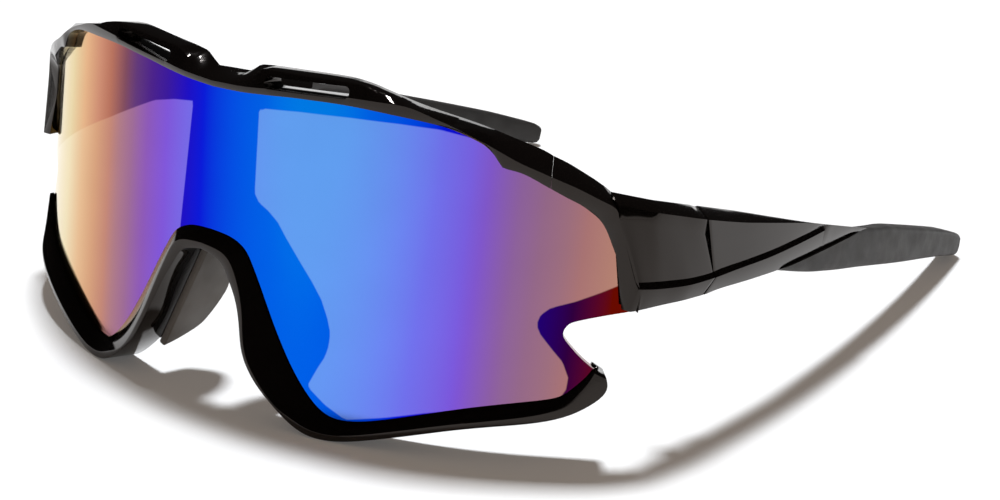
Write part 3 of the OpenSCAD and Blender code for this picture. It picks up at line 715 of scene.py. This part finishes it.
def brow_ring(length):
    """Section of the brow at a length along the lens, on the flat drawing."""
    near = abs(length)
    low = level(BROW_LOW, across(near, BROW_FRONT))
    edge = level(FACET_EDGE, across(near, FACET_FRONT))
    top = level(BROW_TOP, across(near, -BROW_BACK))
    x = across(near, VENT_FRONT)
    vent = max(0, min(1, (x - VENT_START) / VENT_EASE, (VENT_END - x) / VENT_EASE))
    slope_y = (BROW_BACK - FACET_FRONT) / 2
    corner_y = slope_y + vent * (-VENT_FRONT - slope_y)
    corner_z = (edge + top) / 2 + vent * (level(VENT_CORNER, x) - (edge + top) / 2)
    groove = low + TUCK + GAP
    section = [(-BROW_FRONT, low), (-FACET_FRONT, edge), (corner_y, corner_z), (BROW_BACK, top),
               (BROW_BACK, low), (LENS_T + GAP, low), (LENS_T + GAP, groove), (-GAP, groove),
               (-GAP, low)]
    return [(length, y, z) for y, z in section]


half_stations = [0, 1.5, 3, 4.5, VENT_START] + [6.8 + 0.9 * k for k in range(4)]
half_stations += list(range(10, 50)) + [50 + 0.75 * k for k in range(14)]
half_stations.append(SEAM_AT - SEAM_GAP)
stations = [-s for s in reversed(half_stations[1:])] + half_stations
brow = skin("vented_brow_bar", [brow_ring(s) for s in stations])
print("brow", len(stations), "rings")

# %% [markdown]
# The slots are long holes with round ends that run through the vents from
# front to back. A plate of that outline is the cutter.

# %% Vent slots
SLOT_LINE, SLOT_H, SLOT_RUN, ARC_STEPS = [(11.6, 56.6), (25.1, 57.5)], 2.0, 20, 8


def slot_outline(side):
    """A long hole with round ends, on one side of the middle."""
    (x0, z0), (x1, z1) = SLOT_LINE
    tilt = math.atan2(z1 - z0, x1 - x0)
    outline = []
    for x, z, start in ((x1, z1, -90), (x0, z0, 90)):
        for k in range(ARC_STEPS + 1):
            angle = math.radians(start + 180 * k / ARC_STEPS) + tilt
            outline.append((side * (along(x, 0) + SLOT_H / 2 * math.cos(angle)),
                            z + SLOT_H / 2 * math.sin(angle)))
    return outline


for side in (-1, 1):
    cutter = plate("slot_cutter", slot_outline(side), SLOT_RUN)
    moved_by(cutter, lambda x, y, z: Vector((x, y - SLOT_RUN / 2, z)))
    combine(brow, cutter, "DIFFERENCE")
soften(brow, EDGE_ROUND)
moved_by(brow, rolled)
finish_piece(brow, gloss_nylon, "front", "frame", "brow_bar")

# %% [markdown]
# ## Lower rim
# The rim runs from horn to horn under the lens and over the nose. Beside the
# nose it stands well out, with a slope down to the lens and a flat front. It
# could be swept along a path, but its section turns and grows. So its stations
# are smoothed and faired, and each of them gives a section.

# %% Sections of the rim
RIM_BACK, FAIRING, CREST_DROP = 3.5, 10, 0.15


def groove(x, z, x_to, z_to):
    """Corners of the lens's groove, cut from one place towards another."""
    reach = (TUCK + GAP) / math.hypot(x_to - x, z_to - z)
    xg, zg = x + reach * (x_to - x), z + reach * (z_to - z)
    return [(x, LENS_T + GAP, z), (xg, LENS_T + GAP, zg), (xg, -GAP, zg), (x, -GAP, z)]


def rim_ring(inner, crest, proud, outer):
    """Section of the rim, on the flat drawing."""
    xi, zi = along(inner[0], RIM_LIP), inner[1]
    xc, zc = along(crest[0], proud), crest[1]
    xo, zo = along(outer[0], proud), outer[1]
    return [(xi, -RIM_LIP, zi), (xc, -proud, zc), (xo, CREST_DROP - proud, zo),
            (xo, RIM_BACK, zo), (xi, RIM_BACK, zi), *groove(xi, zi, xo, zo)]


print("a groove reaches", TUCK + GAP, "mm into the rim")

# %% Lower rim


def faired(rows, passes):
    """Evens the rows out, as a batten does: each moves towards the mean of its two neighbours."""
    for _ in range(passes):
        middle = [[(p + 2 * q + r) / 4 for p, q, r in zip(*rows[i - 1:i + 2])]
                  for i in range(1, len(rows) - 1)]
        rows = [rows[0]] + middle + [rows[-1]]
    return rows


station_rows = [[a[0], a[1], b[0], b[1], c, d[0], d[1]] for a, b, c, d in RIM_STATIONS]
fine_rows = faired(smooth_line(station_rows, LINE_STEPS), FAIRING)
half_rings = [rim_ring((r[0], r[1]), (r[2], r[3]), r[4], (r[5], r[6])) for r in fine_rows]
rim_rings = [[(-x, y, z) for x, y, z in ring] for ring in reversed(half_rings[1:])] + half_rings
rim = skin("lower_rim_with_nose_arch", rim_rings)
soften(rim, RIM_ROUND)
moved_by(rim, rolled)
moved_by(rim, lambda x, y, z: Vector((x, y, max(z, 0))))
finish_piece(rim, gloss_nylon, "front", "frame", "lower_rim")

# %% [markdown]
# ## Temple sections
# Seen from the side, the arm is a deep blade with a sloped top face, a flat
# panel, a diagonal crease and a lower band. The crease is a small step that
# faces up. It could be cut into a block, but all of it is one surface with a
# little relief over a plan line, so each section is a ring whose points follow
# those feature lines. The lines are heights over the distance from the hinge.

# %% Lines of the temple, in the hinge frame
ARM_T, OUTER_X, TOP_Z = 4.5, 6.0, 6.75
TEMPLE_LEN, CURL, CURL_START, CURL_POWER = 127.5, 15, 0.1, 1.8
SEAM = [(-7.2, 3.4), (-6.1, 3.6), (-4.9, 5.0), (-3.9, 4.9), (-1.7, 2.9), (1.1, 0.7), (3.5, -1.7),
        (5.5, -1.6), (6.83, 1.2)]
BEVEL_Z = [(-24, 5.0), (-1, 5.2), (8.6, 5.4), (18.8, 5.9), (30, 6.5), (36, 6.75)]
CREASE_TOP = [(-24, -8), (-14.7, -6.7), (-6, -5.5), (3.5, -3.8), (6.4, -2.9), (14.9, -0.8),
              (24.6, 1.7), (31.5, 3.7), (42.1, 6.75)]
CREASE_LOW = [(-24, -9.1), (-16.3, -7.9), (-9.9, -7.2), (-2.6, -6.0), (5, -4.3), (12.2, -2.4),
              (21.8, 0), (32, 2.9), (44.8, 6.75)]
RUBBER_FOOT, RUBBER_TOP = (26.0, -2.4), (60.4, 6.75)
ARM_LOW = [(-15.9, -11), (-12.9, -10.6), (-8.8, -9.75), (-1.5, -8.4), (3.5, -7.4), (7.3, -6.35),
           (16.6, -4.4), (26.0, -2.4)]
print("seam's foremost point", min(y for _, y in SEAM), "mm from the hinge")

# %% Relief of the temple
# Depths and slopes of the faces: the crease's step, how far the foot is drawn
# in, and the top's outer and inner slopes. The fades are heights over which the
# step and the foot's draw die out, and no face gets narrower than THIN.
# SETTLE is how often a place on a slanted end is worked out again.
STEP_DEPTH, STEP_FADE = 0.55, 0.5
FOOT_DRAW, FOOT_FADE = 0.5, 1.5
TOP_SLOPE, BACK_SLOPE, THIN = 0.3, 0.4, 0.05
SIDE_GAP, HALF_SEAM, SETTLE = 0.25, 0.12, 8


def outer_x(y):
    """Outer face of the temple in plan: straight, then drawn in towards the head."""
    share = max(y / TEMPLE_LEN - CURL_START, 0) / (1 - CURL_START)
    return OUTER_X - CURL * share ** CURL_POWER


def arm_low(y):
    """Lower edge of the arm, which ends along the slanted edge of the rubber."""
    if y <= RUBBER_FOOT[0]:
        return level(ARM_LOW, y)
    share = (y - RUBBER_FOOT[0]) / (RUBBER_TOP[0] - RUBBER_FOOT[0])
    return RUBBER_FOOT[1] + share * (RUBBER_TOP[1] - RUBBER_FOOT[1])


def placed(rows, share, ends, first):
    """Where each line is, at a share of the way between two slanted ends.
    The ends depend on the line's height, so each place is worked out in turns."""
    outline = []
    for row in rows:
        y = first
        for _ in range(SETTLE):
            start, end = ends(row(y))
            y = start + share * (end - start)
        outline.append((y, row(y)))
    return outline


print("arm at the rubber's top edge:", round(outer_x(60), 2), "mm from the hinge line")

# %% Arm
arm_rows = [lambda y: TOP_Z, lambda y: level(BEVEL_Z, y), lambda y: level(CREASE_TOP, y),
            lambda y: level(CREASE_LOW, y), arm_low]


def arm_ends(height):
    """Where the arm starts at the seam and ends at the rubber."""
    return level(SEAM, height) + HALF_SEAM, RUBBER_TOP[0]


def arm_ring(share):
    """Section of the arm at a share of its way from the seam to the rubber."""
    outline = placed(arm_rows, share, arm_ends, 0)
    top, bevel, crease_top, crease_low, low = outline
    x = [outer_x(place[0]) for place in outline]
    step = STEP_DEPTH * max(0, min(1, (TOP_Z - crease_top[1]) / STEP_FADE))
    draw = FOOT_DRAW * max(0, min(1, (crease_top[1] - low[1]) / FOOT_FADE))
    facet = min(ARM_T - THIN, (TOP_Z - bevel[1]) / TOP_SLOPE + THIN)
    back_z = TOP_Z - BACK_SLOPE * (ARM_T - facet)
    return [(x[0] - ARM_T, top[0], back_z), (x[1] - facet, *top), (x[1], *bevel),
            (x[2] - step, *crease_top), (x[3], *crease_low), (x[4] - draw, *low),
            (x[4] - ARM_T, low[0], min(low[1], back_z - 2 * THIN))]


ARM_STEPS = 60
arm = skin("temple_arm_blade_left", [arm_ring(k / ARM_STEPS) for k in range(ARM_STEPS + 1)])
soften(arm, EDGE_ROUND)
print("arm", len(arm.data.polygons), "faces")

# %% [markdown]
# ## Room for the hinge
# The metal leaves lie in the plastic's inner faces, and the knuckles between
# them need room to turn. The CAD nodes have the true pockets. Here a block
# and a cylinder of that size are cut out of each side, which is how such room
# is milled: behind the hinge line in the lug, and before it in the arm.

# %% Cutters for the hinge
KNUCKLE_R, SWING, LEAF_LEN = 1.5, 0.3, 9
POCKET_DEPTH, POCKET_HALF, LEAF_FREE, BORE_OVER = 8, 5, 0.1, 6
POCKET_NEAR, POCKET_FAR = KNUCKLE_R + SWING, LEAF_LEN + SWING


def make_room(piece, y0, y1):
    """Hollows a piece from inside between two places along the temple, and round the knuckles."""
    start_fresh()
    bpy.ops.mesh.primitive_cube_add(size=1)
    block = bpy.context.object
    x1 = KNUCKLE_R + LEAF_FREE
    moved_by(block, lambda x, y, z: Vector((x1 + POCKET_DEPTH * (x - 0.5),
                                            y0 + (y1 - y0) * (y + 0.5), 2 * POCKET_HALF * z)))
    combine(piece, block, "DIFFERENCE")
    start_fresh()
    bpy.ops.mesh.primitive_cylinder_add(vertices=32, radius=KNUCKLE_R + SWING,
                                        depth=2 * (TOP_Z + BORE_OVER))
    combine(piece, bpy.context.object, "DIFFERENCE")


print("pockets reach", POCKET_FAR, "mm from the hinge line")

# %% [markdown]
# ## Two sides
# Left and right are mirror images. A mirror modifier would keep both in one
# piece, but each side moves with its own joint. So the right one is a copy
# with its own mesh, and its normals are set again, as mirroring turns them.

# %% Both arms


def finish_sides(piece, finish, body, slot, node, smooth=30):
    """Copies a left piece to the right side, and finishes both."""
    other = piece.copy()
    other.data = piece.data.copy()
    other.name = piece.name.replace("left", "right")
    bpy.context.scene.collection.objects.link(other)
    moved_by(other, lambda x, y, z: Vector((-x, y, z)))
    edit(other, OUTWARD)
    for one, side in ((piece, "left"), (other, "right")):
        names = [name.replace("left", side) for name in (body, node)]
        finish_piece(one, finish, names[0], slot, names[1], smooth=smooth)


make_room(arm, -POCKET_FAR, POCKET_NEAR)
moved_by(arm, at_hinge)
finish_sides(arm, gloss_nylon, "temple_left", "frame", "temple_arm_left")

# %% [markdown]
# ## Rubber tips
# The elastomer is moulded over the arm's tang. Its front edge is slanted, its
# section is a rounded slab, and its end is round. It could be a bevelled box,
# but it tapers and curves, so it is skinned over rounded rings that start on
# the slanted edge. Its top falls a little to the inside at the start, as the
# arm's does.

# %% Lines of the rubber
# The section is even from EVEN_FROM of the way on, and the fall of its top to
# the inside ends at DRAW_TO. The end is rounded in plan over END_ROUND, down to
# a small flat of END_LEAST.
TIP_LOW = [(26, -2.45), (34.8, -2.4), (47.8, -1.9), (62.1, -0.9), (84.8, 0.3), (105.7, 1.4),
           (115.8, 1.7), (122.3, 1.78), (125, 1.9), (126.5, 2.55), (127.2, 3.6), (127.45, 4.7)]
TIP_TOP = [(26, 6.75), (60.4, 6.78), (64.5, 7.13), (77.4, 7.35), (92.8, 7.41), (110.9, 7.28),
           (119.2, 6.93), (124.3, 6.6), (126.4, 5.9), (127.2, 5.2), (127.45, 4.75)]
TIP_T, TIP_ROUND, TIP_END, END_ROUND, END_LEAST = 4.6, 5, 127.45, 1.6, 0.15
TIP_DRAW, DRAW_TO, EVEN_FROM, RING_POINTS = 0.15, 0.25, 0.2, 28
print("the rubber is", round(TIP_END - RUBBER_FOOT[0], 1), "mm long at its foot")

# %% Rubber tips


def rounded(value):
    """Turns a sine or cosine into that of a rounded slab."""
    return math.copysign(abs(value) ** (2 / TIP_ROUND), value)


def tip_ring(share):
    """Rounded section of the rubber, slanted at its start."""
    ring = []
    even, draw = min(1, share / EVEN_FROM), TIP_DRAW * TIP_T * (1 - min(1, share / DRAW_TO))
    for k in range(RING_POINTS):
        angle = 2 * math.pi * k / RING_POINTS
        wide, high = rounded(math.cos(angle)), rounded(math.sin(angle))
        rise = (high + 1) / 2
        start = RUBBER_FOOT[0] + rise * (RUBBER_TOP[0] - RUBBER_FOOT[0])
        y = start + share * (TIP_END - start)
        line_z = RUBBER_FOOT[1] + rise * (RUBBER_TOP[1] - RUBBER_FOOT[1])
        low, top = level(TIP_LOW, y), level(TIP_TOP, y)
        z = (1 - even) * line_z + even * (low + rise * (top - low))
        z -= draw * (1 - wide) / 2 * max(0, high)
        shrink = min(1, math.sqrt((TIP_END + END_LEAST - y) / END_ROUND))
        ring.append((outer_x(y) - TIP_T / 2 + wide * TIP_T / 2 * shrink, y, z))
    return ring


tip_shares = [0, 0.004, 0.01] + [0.02 * k for k in range(1, 46)]
tip_shares += [0.92, 0.94, 0.955, 0.965, 0.975, 0.983, 0.99, 0.995, 1]
tip = skin("temple_rubber_left", [tip_ring(s) for s in tip_shares])
moved_by(tip, at_hinge)
moved_by(tip, lambda x, y, z: Vector((x, y, max(z, 0))))
finish_sides(tip, soft_rubber, "temple_left", "rubber", "temple_tip_left", smooth=50)

# %% [markdown]
# ## End pieces
# Each end piece is one moulding of two forms: a bar that follows the corner
# of the lens, and a lug that runs back to the hinge and carries on the arm's
# facets. One skin could not turn such a corner cleanly. So the bar is skinned
# on the flat drawing and rolled up, the lug is skinned in the hinge's frame,
# and the two are made one solid.

# %% Stations of the bar
# Each has three places: at the lens, on the front edge and on the back edge.
# Past BAR_TURN the front edge's lip gets lower by LIP_FADE with each mm.
BAR_STATIONS = [
    ((57.31, 46.75), (57.6, 48.75), (54.62, 51.1)), ((59.4, 45.6), (59.6, 47.95), (56.6, 50.2)),
    ((61.2, 44.6), (61.3, 47.2), (58.9, 49.2)), ((62.6, 43.5), (63.9, 45.8), (61.4, 47.5)),
    ((63.9, 42.2), (66.0, 44.5), (63.5, 45.6)), ((64.9, 40.5), (66.6, 42.4), (65.0, 43.2)),
    ((66, 37.6), (68.1, 38), (66.6, 38.2)), ((67.0, 34.8), (69.0, 34.9), (67.3, 34.9)),
    ((67.7, 32.8), (69.6, 32.4), (67.9, 32.4)), ((68.2, 30.3), (70, 30.2), (68.3, 30.2)),
    ((69, 27.8), (69.9, 27.5), (69.2, 27.5))]
BAR_TURN, LIP_FADE, LIP_LEAST, SIDE_MAX, BAR_STEPS = 60, 0.25, 0.6, 70, 3
print(len(BAR_STATIONS), "stations round the lens's corner")

# %% Bar round the lens's corner


def bar_ring(low, edge, top):
    """Section of the bar, whose lip gets lower down the side."""
    lip = max(LIP_LEAST, min(BROW_FRONT, BROW_FRONT - (low[0] - BAR_TURN) * LIP_FADE))
    xl, zl = along(low[0], BROW_FRONT), low[1]
    xe, ze = along(min(edge[0], SIDE_MAX), FACET_FRONT), edge[1]
    xt, zt = min(along(top[0], -BROW_BACK), xe), top[1]
    return [(xl, -lip, zl), (xe, -FACET_FRONT, ze), (xt, BROW_BACK, zt), (xl, BROW_BACK, zl),
            *groove(xl, zl, xe, ze)]


bar_rows = smooth_line([[*a, *b, *c] for a, b, c in BAR_STATIONS], BAR_STEPS)
bar = skin("end_piece_left_body", [bar_ring(r[:2], r[2:4], r[4:]) for r in bar_rows])
moved_by(bar, rolled)
print("bar", len(bar.data.polygons), "faces")

# %% Lines of the lug
# LUG_PLAN is its outer face seen from above, and RIDGE its front edge seen
# from the side. RIDGE_T and FOOT_T are how thick it stays at its ridge and foot,
# and LUG_FIRST is where the search for each place starts.
LUG_PLAN = [(-24, -3), (-21.4, -1.3), (-18.9, 0.8), (-16.3, 2.5), (-13.7, 4), (-7.5, 5.1),
            (-1.5, 5.85), (6, 6)]
RIDGE = [(-11.5, -14.4), (-8, -14.3), (-5.9, -14.9), (-3.2, -16.3), (-0.2, -17.8), (2, -18.9),
         (4.1, -20), (5.0, -19.9), (6.75, -19.2)]
LUG_FACET_Z = 2.8
LUG_LOW = [(-16.5, -12.1), (-8.8, -10.1), (-1.5, -8.45), (3.5, -7.4)]
LUG_FIRST, RIDGE_T, FOOT_T = -10, 2.5, 2.0
lug_rows = arm_rows[:2] + [lambda y: LUG_FACET_Z] + arm_rows[2:4] + [lambda y: level(LUG_LOW, y)]
print(len(lug_rows), "lines run along the lug")

# %% Lug


def lug_ends(height):
    """Where the lug starts at its ridge and ends at the seam."""
    return level(RIDGE, height), level(SEAM, height) - SIDE_GAP + HALF_SEAM


def lug_ring(share):
    """Section of the lug at a share of its way from the front ridge to the seam."""
    outline = placed(lug_rows, share, lug_ends, LUG_FIRST)
    top, bevel, facet, crease_top, crease_low, low = outline
    x = [level(LUG_PLAN, place[0]) for place in outline]
    inner = OUTER_X - ARM_T
    return [(min(inner, x[1] - RIDGE_T), *top), (x[1], *bevel), (x[2], *facet),
            (x[3] - STEP_DEPTH, *crease_top), (x[4], *crease_low), (x[5] - FOOT_DRAW, *low),
            (min(inner, x[5] - FOOT_T), *low)]


LUG_STEPS = 30
lug = skin("lug", [lug_ring(k / LUG_STEPS) for k in range(LUG_STEPS + 1)])
make_room(lug, -POCKET_NEAR, POCKET_FAR)
moved_by(lug, at_hinge)
print("lug", len(lug.data.polygons), "faces")

# %% End pieces
combine(bar, lug, "UNION")
soften(bar, EDGE_ROUND * MM)
finish_sides(bar, gloss_nylon, "front", "frame", "end_piece_left")

# %% [markdown]
# ## Nose pads and their carriers
# A pad is a half-moon of soft rubber, moulded on a thin plate, and the plate
# is held in the rim. Both have the same outline, so one helper makes them. It
# is drawn as shares of the pad's size, so that a changed size keeps its form.
# The pad's edges are well rounded, because they lie against the nose.

# %% Outline of the pads
PAD_LEN, PAD_W, PAD_T, CARRIER_T, CARRIER_SIZE = 22, 10.5, 1.4, 2.0, 0.93
PAD_AT, PAD_TILT = Vector((8.0, 2.2, 15.1)), math.radians(24.2)
PAD_SHARES = [(0, 0.47), (0.2, 0.465), (0.55, 0.41), (0.85, 0.25), (1, 0.03), (0.965, -0.11),
              (0.85, -0.26), (0.69, -0.363), (0.3, -0.455), (0, -0.5)]
PAD_ROUND, PAD_ROUND_STEPS, CARRIER_ROUND, PLATE_ANGLE = 0.45, 4, 0.15, 40
print(len(PAD_SHARES), "points round a pad")

# %% Nose pads


def at_pad(x, y, z):
    """A point of the pad's own drawing, turned and set on the leaning front."""
    side = x * math.cos(PAD_TILT) - z * math.sin(PAD_TILT) + PAD_AT.x
    up = x * math.sin(PAD_TILT) + z * math.cos(PAD_TILT) + PAD_AT.z
    return leaned(side, y + PAD_AT.y, up)


def pad_plate(name, thickness, size, start):
    """A plate of the pad's outline that stands across the nose, from start to its thickness."""
    corners = [(size * PAD_W * a, size * PAD_LEN * b) for a, b in PAD_SHARES]
    outline = smooth_line(corners, LINE_STEPS)
    piece = plate(name, outline, thickness)
    moved_by(piece, lambda x, y, z: Vector((y + start, x, z)))
    edit(piece, OUTWARD)
    return piece


pad = pad_plate("nose_pad_rubber_left", PAD_T, 1, -PAD_T)
soften(pad, PAD_ROUND, PAD_ROUND_STEPS, PLATE_ANGLE)
moved_by(pad, at_pad)
finish_sides(pad, pad_rubber, "front", "rubber", "nose_pad_left", smooth=50)

# %% Pad carriers
carrier = pad_plate("pad_carrier_plate_left", CARRIER_T, CARRIER_SIZE, 0)
soften(carrier, CARRIER_ROUND, 2, PLATE_ANGLE)
moved_by(carrier, at_pad)
finish_sides(carrier, satin_nylon, "front", "carrier", "nose_pad_carrier_left")

# %% [markdown]
# ## Hinges
# The CAD nodes of the hinge already have their true shape, knuckle by
# knuckle. They could be modelled again, but nothing would be gained, so they
# stay and only get their metal.

# %% Hinge finishes
for name, node in frame["nodes"].items():
    metal = turned_steel if "screw" in name else nickel_silver
    if "screw" in name or "leaf" in name:
        node.data.materials.clear()
        node.data.materials.append(metal)
        print(name, metal.name)

# %% [markdown]
# ## Floor
# The photograph was taken on white paper. The sheet could be lit until it is
# white, but then the glasses would be too bright. So for the camera and for
# reflections it adds a little light of its own, and it keeps the shadow.

# %% Floor
FLOOR_SIZE, FLOOR_GLOW, paper_mm = 6, 0.08, 60
bpy.ops.mesh.primitive_plane_add(size=FLOOR_SIZE, location=(0, 0, 0))
floor = bpy.context.object
floor.name = "paper_sheet"
paper, tree, shader = material("white_paper_sheet", Roughness=0.9)
shades(tree, shader, grain(tree, paper_mm), "#f1f1f0", "#f5f5f4")
light_path = add(tree, "ShaderNodeLightPath")
seen = maths(tree, "MAXIMUM", light_path.outputs["Is Camera Ray"],
             light_path.outputs["Is Glossy Ray"])
glow = maths(tree, "MULTIPLY", seen, FLOOR_GLOW)
shader.inputs["Emission Color"].default_value = (1, 1, 1, 1)
tree.links.new(glow, shader.inputs["Emission Strength"])
floor.data.materials.append(paper)
print(floor.name, FLOOR_SIZE, "m wide")

# %% [markdown]
# ## World
# The room is seen in three ways. To the camera it is white. In reflections it
# is dark above the horizon, so the upper faces of the gloss plastic look black
# and the lower ones show the bright sheet. As light it is a soft, warm fill.

# %% World
SOFT_LEVEL, SOFT_COLOUR = 0.17, "#ffe2c8"


def background(colour_of_it, strength):
    """Light that comes from all round."""
    return add(tree, "ShaderNodeBackground", None,
               {"Color": colour_of_it, "Strength": strength}).outputs[0]


def chosen(ray, otherwise, then):
    """One light for a kind of ray, and another for the rest."""
    return add(tree, "ShaderNodeMixShader", None,
               {0: paths.outputs[ray], 1: otherwise, 2: then}).outputs[0]


world = bpy.data.worlds.new("studio")
bpy.context.scene.world = world
world.use_nodes = True
tree = world.node_tree
tree.nodes.clear()
direction = add(tree, "ShaderNodeTexCoord").outputs["Generated"]
height = add(tree, "ShaderNodeSeparateXYZ", None, {"Vector": direction}).outputs["Z"]
studio = ramp(tree, height, [(0.0, "#ffffff"), (0.02, "#ffffff"), (0.05, "#1a1a1a"),
                             (1.0, "#101010")])
paths = add(tree, "ShaderNodeLightPath")
fill = background(colour(SOFT_COLOUR), SOFT_LEVEL)
lit = chosen("Is Glossy Ray", fill, background(studio, 1))
add(tree, "ShaderNodeOutputWorld", None,
    {"Surface": chosen("Is Camera Ray", lit, background((1, 1, 1, 1), 1))})
print("the fill's strength is", SOFT_LEVEL)

# %% [markdown]
# ## Lamp
# One soft lamp hangs high behind the glasses, and throws their shadow forward
# and to the side. The sun would give a sharper edge, and a nearer lamp a wider
# shadow, so its size and distance were tried against the photograph.

# %% Overhead lamp
LAMP_SIDE, LAMP_WATTS, LAMP_AT, LAMP_COLOUR = 0.6, 185, Vector((-0.6, 0.72, 4.0)), "#f6faff"
softbox = bpy.data.lights.new("overhead_softbox", "AREA")
softbox.shape = "SQUARE"
softbox.size = LAMP_SIDE
softbox.energy = LAMP_WATTS
softbox.color = colour(LAMP_COLOUR)[:3]
overhead = bpy.data.objects.new("overhead_softbox", softbox)
bpy.context.scene.collection.objects.link(overhead)
overhead.location = LAMP_AT
overhead.rotation_euler = (-LAMP_AT).to_track_quat("-Z", "Y").to_euler()
overhead.visible_camera = False
print(overhead.name, round(LAMP_AT.length, 2), "m away")

# %% [markdown]
# ## Camera
# The photographer stood in front, to the wearer's left and a little above,
# with a long lens and the camera turned a little. The direction comes first
# and the roll is added to it, because each was matched on its own.

# %% Camera
FOCAL, SENSOR, CAMERA_ROLL = 90, 36, math.radians(3.06)
camera_data = bpy.data.cameras.new("camera")
camera_data.lens = FOCAL
camera_data.sensor_width = SENSOR
camera = bpy.data.objects.new("camera", camera_data)
bpy.context.scene.collection.objects.link(camera)
camera.location = (0.2803, -0.370525, 0.164885)
look = Vector((-0.57068, 0.7557, -0.32131))
level_view = look.to_track_quat("-Z", "Y").to_matrix()
camera.rotation_euler = (level_view @ Matrix.Rotation(CAMERA_ROLL, 3, "Z")).to_euler()
bpy.context.scene.camera = camera
bpy.context.scene.view_settings.view_transform = "Standard"
print("the camera looks down by", round(math.degrees(math.asin(-look.z / look.length)), 1), "degrees")
